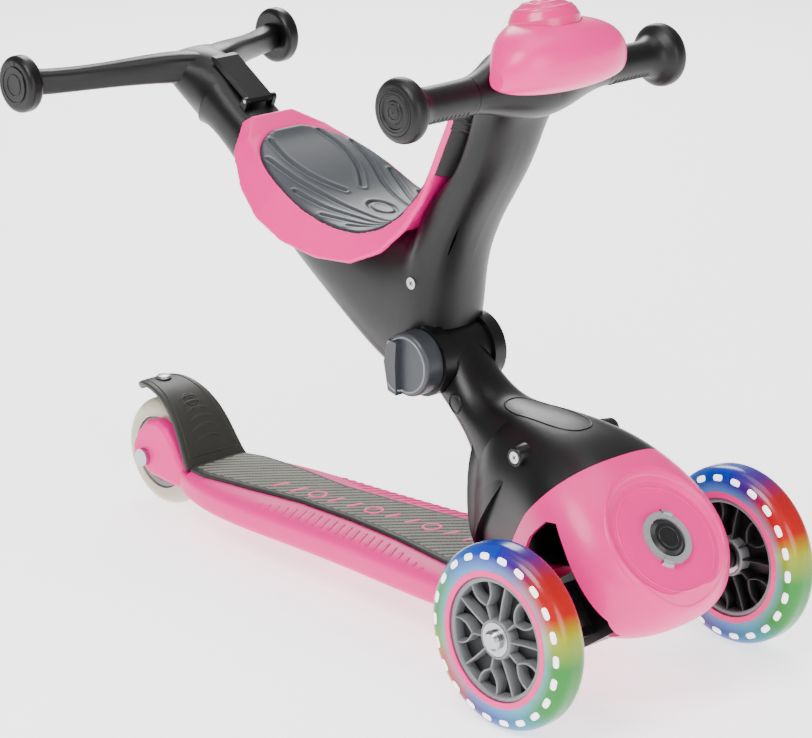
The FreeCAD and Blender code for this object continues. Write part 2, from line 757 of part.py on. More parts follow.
def neck_and_nose(neighbours):
    """The black two-part neck, and the nose cover in front of its sloping border."""
    tongue = y_rod(val("pivot_x"), val("pivot_z"), val("tongue_radius"), -val("tongue_half"), val("tongue_half"))
    neck = span_loft(NECK_SECTIONS, 2.2).fuse([nose_form(), tongue])
    behind = side_prism(COLLAR_BORDER, -90, 90)
    neck = neck.common(behind)
    ear_room = [y_rod(val("pivot_x"), val("pivot_z"), val("ear_radius") + 0.6, a, b)
                for a, b in ((-60, -val("tongue_half")), (val("tongue_half"), 60))]
    under_deck = Part.makeBox(400, 200, 54.3, Vector(-60, -100, 0))
    pin_hole = y_rod(val("pivot_x"), val("pivot_z"), val("pivot_pin_radius"), -60, 60)
    inside = NECK_SECTIONS[2:-1] + [NECK_HOLLOW_END]
    hollow = span_loft(inside, 2.2, val("shell_wall")).fuse(nose_form(val("shell_wall")))
    neck = neck.cut(ear_room + [under_deck, pin_hole, hollow] + neighbours)
    seam = side_prism([(30, 20), (30, 150), (76, 150), (84, 150.0), (100, 139), (124, 136), (136, 128),
                       (146, 100), (150, 20)], -90, 90)
    feature("neck_lower_shell", main_solid(neck.common(seam)))
    feature("neck_upper_shell", main_solid(neck.cut(seam)))

    spot, facing = lock_frame()
    shift = 0.4
    border = [(x + shift, z) for x, z in COLLAR_BORDER[:7]]
    ahead = side_prism(border + [(176, 70), (200, 62), (214, 50), (222, 36), (222, -10), (330, -10), (330, 215)],
                       -90, 90)
    cover = nose_form().cut(nose_form(val("shell_wall"))).common(ahead)
    arch = [(176, 20), (180, 84), (192, 106), (206, 120), (215, 121), (226, 108), (256, 66), (252, 20)]
    cuts = [side_prism(arch, 40, 100), side_prism(arch, -100, -40)]
    cuts.append(Part.makeCylinder(val("button_radius") + 0.4, 60, spot - facing * 30, facing))
    feature("nose_cover", main_solid(cover.cut(cuts + neighbours)))


def lock_button():
    """Steering lock: a domed push button in a lugged ring on the nose."""
    turn = Rotation(Vector(0, 1, 0), lock_frame()[1])
    radius = dim("button_radius")
    button = turned("lock_button", [
        (0, -16), (4, -16), (4, -5), (radius, -5), (radius, 0.5), (radius - 3, 2.2), (0, 3.2)])
    place(button, dim("button_x"), 0, dim("button_z"), turn)
    ring = turned("lock_ring", tube_outline(radius + 0.45, radius + 5.0, -0.5, 1.6))
    place(ring, dim("button_x"), 0, dim("button_z"), turn)


# ------------------------------------------------------------------ fold pivot
def fold_pivot():
    pin = val("pivot_pin_radius")
    x, z = val("pivot_x"), val("pivot_z")
    head = y_rod(x, z, 9.0, val("ear_outer") + 0.4, val("ear_outer") + 3.0)
    bolt_end = val("ear_outer") + 4.5
    feature("pivot_bolt", main_solid(y_rod(x, z, pin - 0.05, -bolt_end, val("ear_outer") + 1).fuse(head)))
    knob = new_body("fold_knob")
    disc = new_sketch(knob, "XZ_Plane", shift=dim("ear_outer") + 0.4)
    draw_circle(disc, 0, 0, dim("knob_radius"))
    add_pad(knob, disc, dim("knob_depth"))
    fillet_edges(knob, 2.5, lambda b: b.YMax < -val("ear_outer") - val("knob_depth") + 0.5 and b.XLength > 30)
    grip = new_sketch(knob, "XZ_Plane", shift=dim("ear_outer") + dim("knob_depth") - 1.0)
    draw_outline(grip, [(-12, -19), (-4, -21), (-5, 0), (-4, 15), (-12, 16), (-16, 0)])
    add_pad(knob, grip, 6)
    well = new_sketch(knob, "XZ_Plane", shift=as_size(0))
    draw_circle(well, 0, 0, dim("pivot_pin_radius") + 0.05)
    add_pocket(knob, well, dim("ear_outer") + 5.0, reverse=True)
    keep(knob)
    place(knob, dim("pivot_x"), 0, dim("pivot_z"))
    cap = turned("pivot_cap", [
        (0, 4.2), (10, 4.2), (10, 0.1), (15, 0.1), (14.5, 4.0), (12, 6.4), (0, 7.0)])
    place(cap, dim("pivot_x"), dim("ear_outer"), dim("pivot_z"))


# ------------------------------------------------------------------ seat frame
FRAME_SECTIONS = [
    # side-view spans of the hollow frame, from the rear collar down to the pivot and up the column
    ((-185.1, 296.7), (-161.9, 334.1), 22.0),
    ((-132.0, 263.0), (-108.0, 301.0), 22.5),
    ((-82.0, 223.0), (-58.0, 278.0), 25.0),
    ((-38.0, 195.0), (-18.0, 264.0), 28.0),
    ((2.0, 171.0), (12.0, 262.0), 30.0),
    ((40.0, 160.0), (36.0, 268.0), 31.0),
    ((67.0, 212.0), (44.0, 277.0), 29.0),
    ((77.0, 256.0), (53.0, 292.0), 27.5),
    ((103.0, 303.0), (74.0, 314.0), 27.5),
    ((123.0, 344.0), (92.0, 346.0), 28.5),
    ((141.0, 368.0), (103.0, 372.0), 33.0),
]

BAR_SECTIONS = [
    # y, centre x, centre z, half x, half z
    (0.0, 128.0, 379.0, 28.0, 22.0),
    (28.0, 130.0, 382.0, 22.0, 20.0),
    (44.0, 132.0, 381.5, 15.0, 15.0),
    (58.3, 132.5, 380.5, 12.0, 12.0),
]

SEAT_SECTIONS = [
    # seat line x, z; slope of the line; pad half width; rim half width; rim drop
    (-124.5, 315.0, -38.0, 17.0, 25.0, 4.0),
    (-109.0, 305.0, -31.0, 35.0, 43.0, 12.0),
    (-86.0, 294.5, -24.0, 44.0, 54.5, 20.5),
    (-60.0, 283.5, -22.0, 50.0, 64.0, 22.0),
    (-34.0, 272.5, -20.0, 51.0, 65.5, 21.0),
    (-8.0, 266.5, -7.0, 49.5, 63.0, 19.0),
    (15.0, 266.0, 8.0, 45.5, 57.5, 17.5),
    (31.0, 271.5, 28.0, 40.0, 50.0, 15.0),
    (43.0, 281.0, 47.0, 34.0, 41.5, 11.0),
    (53.0, 295.0, 58.0, 28.5, 33.0, 7.0),
    (62.0, 311.0, 62.0, 24.0, 29.5, 4.0),
]


PAD_SECTIONS = [
    # seat line x, z; slope of the line; pad half width
    (-109.0, 305.2, -31.0, 13.0),
    (-102.0, 301.4, -29.0, 27.5),
    (-88.0, 295.4, -25.0, 40.0),
    (-60.0, 283.5, -22.0, 48.5),
    (-34.0, 272.5, -20.0, 50.0),
    (-8.0, 266.5, -7.0, 48.5),
    (15.0, 266.0, 8.0, 44.5),
    (31.0, 271.5, 28.0, 39.0),
    (43.0, 281.0, 47.0, 33.0),
    (53.0, 295.0, 58.0, 27.5),
    (60.0, 307.5, 61.0, 23.0),
]


def seat_wire(x, z, slope, inner, outer, drop, thickness):
    """Saddle section across the seat line: flat in the middle, with sloping skirts."""
    up = Vector(-math.sin(math.radians(slope)), 0, math.cos(math.radians(slope)))
    across = Vector(0, 1, 0)
    base = Vector(x, 0, z)
    half = [(inner, 0.0), (outer, -drop), (outer - 4, -drop - 2), (inner - 3, -thickness)]
    ring = half + [(-u, v) for u, v in reversed(half)]
    spots = [base + across * u + up * v for u, v in ring]
    return Part.makePolygon(spots + spots[:1])


def pad_wire(x, z, slope, inner, low, high, grow=0.0):
    up = Vector(-math.sin(math.radians(slope)), 0, math.cos(math.radians(slope)))
    middle = Vector(x, 0, z) + up * (low + high) * 0.5
    return oval(middle, Vector(0, 1, 0), up, inner + grow, (high - low) * 0.5 + grow, 6.0)


def seat_forms():
    skirt = Part.makeLoft([seat_wire(*s, thickness=6.0) for s in SEAT_SECTIONS], True, True)
    pad = Part.makeLoft([pad_wire(*s, -3.5, 1.5) for s in PAD_SECTIONS], True, False)
    return skirt, pad


def column_trim():
    """Strip that climbs the column's rear face from the seat to the head cover."""
    rear = [(58, 303), (64, 314.5), (76, 340), (88.5, 366), (100, 385)]
    front = [(x + 5.0, z - 2.2) for x, z in reversed(rear)]
    return side_prism(rear + front, -28.5, 28.5)


def half_section(low, high, half_width, power=2.5, count=13):
    """The left half of an oval across a side-view span, closed along the middle plane."""
    low, high = Vector(low[0], 0, low[1]), Vector(high[0], 0, high[1])
    upward = high - low
    half_up = upward.Length / 2
    upward.normalize()
    points = []
    for k in range(count):
        angle = math.pi * (k / (count - 1) - 0.5)
        c, s = abs(math.cos(angle)), math.sin(angle)
        u = c ** (2 / power) * half_width if 0 < k < count - 1 else 0.0
        v = math.copysign(abs(s) ** (2 / power), s) * half_up
        points.append((low + high) * 0.5 + Vector(0, u, 0) + upward * v)
    curve = Part.BSplineCurve()
    curve.interpolate(points)
    return Part.Wire([curve.toShape(), Part.makeLine(points[-1], points[0])])


def sector(x, z, radius, start, end, y0, y1):
    """A wedge about (x, z) between two side-view angles, in degrees from +X towards +Z."""
    steps = 8
    spots = [(x, z)]
    for k in range(steps + 1):
        angle = math.radians(start + (end - start) * k / steps)
        spots.append((x + radius * math.cos(angle), z + radius * math.sin(angle)))
    return side_prism(spots, y0, y1)


def half_bar(grow):
    """The left half of the bar's root where it flares into the column."""
    return Part.makeLoft([y_section(cx, y, cz, hx + grow, hz + grow)
                          for y, cx, cz, hx, hz in BAR_SECTIONS], True, False)


def dome_frame():
    """Centre and upward direction of the head module."""
    lean = math.radians(val("dome_lean"))
    return Vector(val("dome_x"), 0, val("dome_z")), Vector(math.sin(lean), 0, math.cos(lean))


def sound_pocket():
    """Room for the sound unit under the dome."""
    spot, upward = dome_frame()
    return Part.makeCylinder(18.0, 20, spot - upward * 17.0, upward)


def seat_frame(frame_screws):
    """Two hollow half shells that form the seat's spar, the fold ears, the column and the bar's root."""
    skirt, pad = seat_forms()
    trim = column_trim()
    spar = Part.makeLoft([half_section(*s) for s in FRAME_SECTIONS[:6]], True, False)
    column = Part.makeLoft([half_section(*s) for s in FRAME_SECTIONS[5:]], True, False)
    x, z = val("pivot_x"), val("pivot_z")
    ear = y_rod(x, z, val("ear_radius"), val("ear_inner"), val("ear_outer"))
    bar = half_bar(0.0)
    slope = math.radians(val("post_slope"))
    along = Vector(-math.cos(slope), 0, math.sin(slope))
    collar = Vector(val("collar_x"), 0, val("collar_z"))
    rooms = [
        skirt, pad, trim,
        Part.makeCylinder(val("post_radius") + 2.5, 230, collar + along * 40, -along),
        y_rod(x, z, val("tongue_radius") + 0.5, -1, val("ear_inner")),
        sector(x, z, val("ear_radius") + 16, 8, -106 - val("fold_limit"), -1, val("ear_inner")),
        sector(x, z, val("ear_radius") + 30, 8, -106 - val("fold_limit"), -1, 26.0).cut(
            y_rod(x, z, val("ear_radius") + 0.6, -2, 30)),
        sound_pocket(),
        y_rod(x, z, val("knob_radius") + 0.6, val("ear_outer"), 60),
        y_rod(x, z, val("pivot_pin_radius"), -60, 60),
        y_rod(val("bar_x"), val("bar_z"), val("bar_radius"), -80, 80),
        side_prism([(-30, 212), (0, 190), (34, 180), (36, 205), (50, 255), (10, 245), (-20, 240)], -1, 20),
        side_prism([(62, 262), (74, 258), (100, 312), (116, 344), (104, 346), (82, 308)], -1, 20),
        frame_screws,
    ]
    shell = spar.fuse([column, ear, bar])
    for room in rooms:
        shell = shell.cut(room)
    shell = main_solid(shell.fuse(lever_lug()))
    feature("frame_shell_left", shell)
    feature("frame_shell_right", mirrored(shell))
    rim = skirt.cut(pad_cutter()).fuse(trim)
    feature("seat_rim", main_solid(rim))
    feature("seat_pad", pad)
    bush = Part.makeCylinder(val("post_radius") + 2.4, 20, collar + along * (val("collar_end") - 20.5), along)
    bush = bush.cut(Part.makeCylinder(val("post_radius") + 0.05, 40, collar - along * 5, along))
    feature("post_bush", bush)


def pad_cutter():
    return Part.makeLoft([pad_wire(*s, -3.5, 9.0, 0.1) for s in PAD_SECTIONS], True, False)


def handlebar():
    x, z = val("bar_x"), val("bar_z")
    feature("handlebar_tube", y_rod(x, z, val("bar_radius") - 0.02, -112, 112).cut(y_rod(x, z, 6.0, -113, 113)))
    inner, outer = dim("grip_inner_y"), dim("grip_outer_y")
    disc, tip = dim("grip_disc_radius"), dim("grip_disc_outer_y")
    core = dim("bar_radius")
    for side, sign in (("left", 1), ("right", -1)):
        grip = turned(f"grip_{side}", [
            (core, inner), (dim("grip_radius") + 0.5, inner), (dim("grip_radius"), inner + 12),
            (dim("grip_radius"), outer - 9), (dim("grip_radius") + 3, outer - 2), (disc - 1, outer),
            (disc, outer + 5), (disc - 3, tip), (15, tip), (15, tip - 3), (core, tip - 3)])
        turn = Rotation() if sign > 0 else Rotation(Vector(1, 0, 0), 180)
        place(grip, dim("bar_x"), 0, dim("bar_z"), turn)
        cap = turned(f"grip_cap_{side}", [
            (0, tip - 2.9), (14.9, tip - 2.9), (14.9, tip), (11, tip + 0.6), (10.4, tip - 0.2),
            (7.4, tip - 0.2), (6.8, tip + 0.6), (0, tip + 0.9)])
        place(cap, dim("bar_x"), 0, dim("bar_z"), turn)


HEAD_SECTIONS = [
    # y, centre x, centre z, half x, half z
    (-53.0, 152.0, 393.0, 6.0, 6.0),
    (-47.0, 153.5, 397.0, 13.5, 13.0),
    (-36.0, 152.0, 400.0, 23.0, 18.5),
    (-18.0, 148.0, 401.0, 32.0, 22.0),
    (0.0, 145.5, 401.5, 36.0, 23.5),
    (18.0, 148.0, 401.0, 32.0, 22.0),
    (36.0, 152.0, 400.0, 23.0, 18.5),
    (47.0, 153.5, 397.0, 13.5, 13.0),
    (53.0, 152.0, 393.0, 6.0, 6.0),
]


def head():
    """The head cover over the handlebar's middle, with its push dome and the sound unit inside."""
    form = Part.makeLoft([y_section(cx, y, cz, hx, hz, 2.3) for y, cx, cz, hx, hz in HEAD_SECTIONS], True, False)
    bar = half_bar(0.3)
    column = span_loft(FRAME_SECTIONS[7:], 2.5, -0.3)
    spot, upward = dome_frame()
    well = Part.makeCylinder(val("dome_radius") + 0.5, 60, spot - upward * 5.5, upward)
    cover = form.cut([bar, mirrored(bar), column, well, sound_pocket(), column_trim()])
    feature("head_cover", main_solid(cover))
    turn = Rotation(Vector(0, 1, 0), upward)
    radius = dim("dome_radius")
    dome = turned("module_button", [
        (0, -2.5), (radius, -2.5), (radius, 6.0), (radius - 2.5, 11.0), (radius - 9, 15.5), (0, 18.0)])
    place(dome, dim("dome_x"), 0, dim("dome_z"), turn)
    unit = turned("sound_module", [(0, -16.5), (17.6, -16.5), (17.6, -6.6), (0, -6.6)])
    place(unit, dim("dome_x"), 0, dim("dome_z"), turn)


# ------------------------------------------------------------------ T-bar
def t_bar():
    """Height-adjustable Y-shaped handle on its post."""
    slope = math.radians(val("post_slope"))
    along = Vector(-math.cos(slope), 0, math.sin(slope))
    normal = Vector(math.sin(slope), 0, math.cos(slope))
    collar = Vector(val("collar_x"), 0, val("collar_z"))
    start = collar + along * (val("collar_end") + 0.3)
    radius = val("post_radius")
    low, high = collar + along * val("post_inner_end"), collar + along * 52
    length = (high - low).Length
    post = Part.makeCylinder(radius, length, low, along)
    post = post.cut(Part.makeCylinder(radius - val("post_wall"), length, low, along))
    feature("t_bar_post", post)
    hub = Part.makeLoft([
        oval(start, Vector(0, 1, 0), normal, 22, 22, 2),
        oval(start + along * 16, Vector(0, 1, 0), normal, 22.5, 21.5, 2),
        oval(start + along * 32, Vector(0, 1, 0), normal, 26, 17, 2),
        oval(start + along * 44, Vector(0, 1, 0), normal, 27, 11, 2),
    ], True, False)
    disc = Vector(val("t_disc_x"), val("t_disc_y"), val("t_disc_z"))
    half = val("t_disc_width") / 2
    stations = [(-196.0, 4.0, 335.0, 12.0, 11.0), (-206.0, 26.0, 336.0, 11.0, 10.5),
                (-224.0, 56.0, 333.5, 9.0, 9.0), (-241.0, 86.0, 331.0, 8.5, 8.5),
                (disc.x, disc.y - half + 0.5, disc.z, 9.5, 9.0)]
    wires = []
    for i, (x, y, z, half_x, half_z) in enumerate(stations):
        ends = stations[max(i - 1, 0)], stations[min(i + 1, len(stations) - 1)]
        run = Vector(ends[1][0] - ends[0][0], ends[1][1] - ends[0][1], 0).normalize()
        across = Vector(run.y, -run.x, 0) if i < len(stations) - 1 else Vector(1, 0, 0)
        wires.append(oval(Vector(x, y, z), across, Vector(0, 0, 1), half_x, half_z, 3.0))
    arm = Part.makeLoft(wires, True, False)
    handle = hub.fuse([arm, mirrored(arm)])
    handle = handle.cut(Part.makeCylinder(radius, 52 - val("collar_end"),
                                          collar + along * val("collar_end"), along))
    for sign in (1, -1):
        knob = Part.makeCylinder(val("t_disc_radius"), 2 * half, Vector(disc.x, sign * disc.y - half, disc.z),
                                 Vector(0, 1, 0))
        knob = knob.makeFillet(4.0, knob.Edges[:1] + knob.Edges[2:])
        handle = handle.fuse(knob)
        well_y = sign * (disc.y + half - 1.25) - 1.25
        handle = handle.cut(Part.makeCylinder(13.0, 2.5, Vector(disc.x, well_y, disc.z), Vector(0, 1, 0)))
    feature("t_bar_handle", main_solid(handle))
    caps = [Part.makeCylinder(12.9, 2.8, Vector(disc.x, sign * (disc.y + half - 0.9) - 1.4, disc.z),
                              Vector(0, 1, 0)) for sign in (1, -1)]
    feature("t_bar_caps", Part.makeCompound(caps))


def slope_point(along, normal):
    """A side-view point given along and square to the post, from the collar's centre."""
    slope = math.radians(val("post_slope"))
    return (val("collar_x") - along * math.cos(slope) + normal * math.sin(slope),
            val("collar_z") + along * math.sin(slope) + normal * math.cos(slope))


def lever_lug():
    """One of the two lugs on the collar that carry the lever's pin."""
    low, high = val("collar_radius") - 6.0, val("lever_pin_normal")
    pin = val("lever_pin_along")
    plate = side_prism([slope_point(pin - 4, low), slope_point(pin + 2.6, low),
                        slope_point(pin + 2.6, high), slope_point(pin - 2.6, high)], 10.4, 13.5)
    x, z = slope_point(pin, high)
    return plate.fuse(y_rod(x, z, 2.6, 10.4, 13.5)).cut(y_rod(x, z, 1.2, 10, 14))


def height_lever():
    """Flap on the collar that frees the T-bar's height catch, and its pin."""
    body = new_body("height_lever")
    side = new_sketch(body, "XZ_Plane")
    base = dim("collar_radius") + 0.5
    draw_outline(side, [(6.0, base + 0.6), (4.4, base), (-41, base), (-42, base + 3), (-38, base + 4.6),
                        (4.4, base + 4.6), (6.4, base + 3)])
    add_pad(body, side, 20, midplane=True)
    bore = new_sketch(body, "XZ_Plane")
    draw_circle(bore, -dim("lever_pin_along"), dim("lever_pin_normal"), 1.25)
    add_pocket(body, bore, 30, midplane=True)
    keep(body)
    place(body, dim("collar_x"), 0, dim("collar_z"), Rotation(Vector(0, 1, 0), val("post_slope")))
    x, z = slope_point(val("lever_pin_along"), val("lever_pin_normal"))
    feature("lever_pin", y_rod(x, z, 1.2, -13.5, 13.5))


# ------------------------------------------------------------------ fasteners
def fasteners():
    """Cross-head screws that hold the neck shells, the truck and the seat frame shells together."""
    screw = turned("screw_pattern", [(0, 0), (4.0, 0), (4.0, -2.5), (1.9, -3.0), (1.9, -5.0), (0, -6.0)],
                   stored=False)
    out_left, out_right = Rotation(), Rotation(Vector(1, 0, 0), 180)
    spots = []
    for x, y, z in ((85.0, 22.0, 160.0), (163.0, 45.2, 148.0)):
        spots.append(Placement(Vector(x, y, z), out_left))
        spots.append(Placement(Vector(x, -y, z), out_right))
    chassis = copies("chassis_screws", screw, spots)
    spots = []
    for x, y, z in ((-131.0, 21.5, 292.0), (50.0, 30.6, 236.0)):
        spots.append(Placement(Vector(x, y, z), out_left))
        spots.append(Placement(Vector(x, -y, z), out_right))
    frame = copies("frame_screws", screw, spots)
    return chassis.Shape, frame.Shape


def main():
    for side, sign in (("left", 1), ("right", -1)):
        front_wheel(side, sign)
    rear_wheel()
    truck = steering()
    deck_body, mat = deck(truck)
    rear_axle()
    brake()
    chassis_screws, frame_screws = fasteners()
    neck_and_nose([truck, deck_body, mat, chassis_screws])
    lock_button()
    fold_pivot()
    seat_frame(frame_screws)
    handlebar()
    head()
    t_bar()
    height_lever()
    doc.recompute()
    for item in doc.Objects:
        if "Invalid" in item.State or "Error" in item.State:
            raise RuntimeError(f"{item.Name} failed: {item.State}")
    for label, item in NODES.items():
        if item.Shape.isNull() or not item.Shape.isValid():
            raise RuntimeError(f"{label} has no valid shape")
        item.Shape.exportStep(f"parts/{label}.step")
        box = item.Shape.BoundBox
        print(f"{label:22s} {item.Shape.Volume / 1000:8.1f} cm3  x {box.XMin:7.1f} {box.XMax:7.1f}  "
              f"y {box.YMin:7.1f} {box.YMax:7.1f}  z {box.ZMin:6.1f} {box.ZMax:6.1f}")


main()
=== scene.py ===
"""Looks of the child's three-wheeled scooter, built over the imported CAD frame. Tables are in millimetres."""
import bpy
import math
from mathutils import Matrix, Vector
from mathutils.bvhtree import BVHTree


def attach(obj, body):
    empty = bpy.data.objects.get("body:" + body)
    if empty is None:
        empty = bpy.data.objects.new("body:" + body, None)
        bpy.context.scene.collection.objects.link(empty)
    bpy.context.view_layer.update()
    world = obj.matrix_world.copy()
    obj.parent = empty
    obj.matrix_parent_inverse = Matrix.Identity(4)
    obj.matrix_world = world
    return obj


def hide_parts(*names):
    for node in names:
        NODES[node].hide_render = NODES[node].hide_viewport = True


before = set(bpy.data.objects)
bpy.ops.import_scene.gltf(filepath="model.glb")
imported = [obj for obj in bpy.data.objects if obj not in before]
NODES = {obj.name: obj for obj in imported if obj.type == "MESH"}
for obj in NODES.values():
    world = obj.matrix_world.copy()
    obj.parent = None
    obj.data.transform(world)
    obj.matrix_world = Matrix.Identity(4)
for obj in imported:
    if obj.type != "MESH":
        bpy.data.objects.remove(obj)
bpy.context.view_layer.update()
MM = 0.001

SIDEWAYS = Vector((0, 1, 0))
UP = Vector((0, 0, 1))
FORWARD = Vector((1, 0, 0))
DOWN = -UP

# Places shared with the CAD, in millimetres of the row frame.
AXLE_X, TRACK_Y, AXLE_Z = 220.75, 105.7, 60.5
REAR_WHEEL = Vector((-241.25, 0, 40.0))
BAR_X, BAR_Z = 132.5, 380.5
T_BAR_X, T_BAR_Z = -254.25, 330.5
KNOB_CENTRE = Vector((57, -46, 184))
LOCK_CENTRE, LOCK_LEAN = Vector((254.9, 0, 107.3)), math.radians(43.0)
DOME_CENTRE, DOME_LEAN = Vector((141.0, 0, 417.0)), math.radians(-12.0)
NECK_SCREW, NOSE_SCREW = (85, 22, 160), (163, 45.2, 148)


# ------------------------------------------------------------------ materials
def linear(code):
    """Linear colour of a hex code."""
    parts = [int(code[i:i + 2], 16) / 255 for i in (0, 2, 4)]
    return tuple(c / 12.92 if c <= 0.04045 else ((c + 0.055) / 1.055) ** 2.4 for c in parts) + (1.0,)


def shade(colour, factor):
    """A colour made darker or lighter by a factor, with full alpha."""
    return tuple(min(1.0, c * factor) for c in colour[:3]) + (1.0,)


class Finish:
    """A procedural finish: blotchy colour, uneven gloss and a fine grain, all in object space."""

    def __init__(self, name, colour, rough, grain=0.05, grain_scale=1400.0, vary=0.06, metallic=0.0, coat=0.0,
                 specular=0.5):
        self.material = bpy.data.materials.new(name)
        self.material.use_nodes = True
        self.tree = self.material.node_tree
        self.shader = self.tree.nodes["Principled BSDF"]
        self.coords = self.add("ShaderNodeTexCoord")
        self.shader.inputs["Metallic"].default_value = metallic
        self.shader.inputs["Specular IOR Level"].default_value = specular
        self.shader.inputs["Coat Weight"].default_value = coat
        self.shader.inputs["Coat Roughness"].default_value = 0.12
        base = linear(colour)
        tint = self.ramp(self.noise(22.0, 4.0), [(0.3, shade(base, 1 - vary)), (0.7, shade(base, 1 + vary))])
        self.link(tint.outputs["Color"], self.shader.inputs["Base Color"])
        gloss = self.map_range(self.noise(70.0, 5.0), (0.0, 1.0), (rough * 0.88, min(1.0, rough * 1.14)))
        self.link(gloss, self.shader.inputs["Roughness"])
        bump = self.add("ShaderNodeBump")
        bump.inputs["Strength"].default_value = grain
        bump.inputs["Distance"].default_value = 0.0004
        self.link(self.noise(grain_scale, 2.0), bump.inputs["Height"])
        self.link(bump.outputs["Normal"], self.shader.inputs["Normal"])

    def add(self, kind, operation=None):
        """A new node, with its operation set where it has one."""
        node = self.tree.nodes.new(kind)
        if operation:
            node.operation = operation
        return node

    def link(self, start, end):
        """Join an output socket to an input socket."""
        self.tree.links.new(start, end)

    def map_range(self, value, source, target):
        """Linear map of a value from one pair of ends to another, clamped."""
        node = self.add("ShaderNodeMapRange")
        for label, end in zip(("From Min", "From Max", "To Min", "To Max"), source + target):
            node.inputs[label].default_value = end
        self.link(value, node.inputs["Value"])
        return node.outputs["Result"]

    def noise(self, scale, detail):
        """Noise of the given scale in object space."""
        node = self.add("ShaderNodeTexNoise")
        node.inputs["Scale"].default_value = scale
        node.inputs["Detail"].default_value = detail
        self.link(self.coords.outputs["Object"], node.inputs["Vector"])
        return node.outputs["Fac"]

    def ramp(self, value, stops):
        """A colour ramp with (position, colour) stops, driven by a value."""
        node = self.add("ShaderNodeValToRGB")
        elements = node.color_ramp.elements
        while len(elements) < len(stops):
            elements.new(0.5)
        for element, (spot, colour) in zip(elements, stops):
            element.position = spot
            element.color = colour
        self.link(value, node.inputs["Fac"])
        return node

    def glow(self, colour, strength):
        """Add light of its own."""
        self.shader.inputs["Emission Color"].default_value = linear(colour)
        self.shader.inputs["Emission Strength"].default_value = strength
        return self

    def soft(self, weight, radius):
        """Add subsurface scattering, with the radius in metres."""
        self.shader.inputs["Subsurface Weight"].default_value = weight
        self.shader.inputs["Subsurface Radius"].default_value = (radius, radius, radius)
        self.shader.inputs["Subsurface Scale"].default_value = 1.0
        return self


PINK = Finish("pink_plastic", "EC0E80", 0.36, 0.03, vary=0.03, coat=0.1, specular=0.35).material
PINK_DECK = Finish("pink_deck_plastic", "E80880", 0.46, 0.06, vary=0.03, coat=0.02, specular=0.25).material
PINK_MARK = Finish("pink_raised", "F02088", 0.4, 0.04, vary=0.03, specular=0.4).material
DOME_PINK = Finish("pink_dome", "DE0074", 0.3, 0.02, vary=0.03, coat=0.15).material
BLACK = Finish("black_satin_plastic", "070708", 0.36, 0.1, 1100.0, vary=0.14, specular=0.3).material
TUBE = Finish("post_black", "0B0C0E", 0.32, 0.06, vary=0.1, specular=0.35).material
BRAKE = Finish("brake_plastic", "2B2B27", 0.48, 0.14, 900.0, vary=0.08, specular=0.35).material
MAT_RIDGE = Finish("mat_ridge_rubber", "6A6B5E", 0.6, 0.16, 1200.0, vary=0.08).material
# Dark rubber of the mat's border, also laid in the mat's grooves as painted shade.
MAT_BORDER_AND_GROOVE_SHADE = Finish("mat_border_rubber_and_groove_shade", "1F211E", 0.6, 0.16, 1200.0, vary=0.08).material
GRIP = Finish("grip_rubber", "080809", 0.42, 0.2, 1000.0, vary=0.12, specular=0.3).material
CAP = Finish("cap_plastic", "09090A", 0.38, 0.1, vary=0.1, specular=0.3).material
PAD = Finish("seat_soft_plastic", "23282E", 0.42, 0.1, 1000.0, vary=0.08, specular=0.4).material
KNOB = Finish("knob_plastic", "2E3136", 0.42, 0.06, vary=0.06).material
KNOB_LIGHT = Finish("knob_grip_plastic", "74777C", 0.4, 0.06, vary=0.06).material
SILVER = Finish("silver_ring", "9A9C9E", 0.32, 0.05, vary=0.06, metallic=0.35).material
BUTTON = Finish("button_black", "0E0E10", 0.36, 0.05, vary=0.1).material
CORE = Finish("wheel_core_grey", "6E7072", 0.36, 0.05, vary=0.06, metallic=0.15).material
WEB = Finish("wheel_web_black", "08080A", 0.45, 0.1, vary=0.15).material
STEEL = Finish("steel", "A6A8AB", 0.24, 0.05, 900.0, vary=0.1, metallic=1.0).material
# A flat dark colour laid in the screws' cross slots as painted shade.
RECESS_SHADE = Finish("recess_painted_shade", "0B0B0C", 0.6, 0.1, vary=0.2).material
LAMP = Finish("lamp_window", "FFFFFF", 0.3, 0.02, vary=0.02).glow("FFFFFF", 1.1).material
CREAM = Finish("cream_tyre", "B4AF98", 0.2, 0.03, vary=0.05, coat=0.3).soft(0.35, 0.004).material


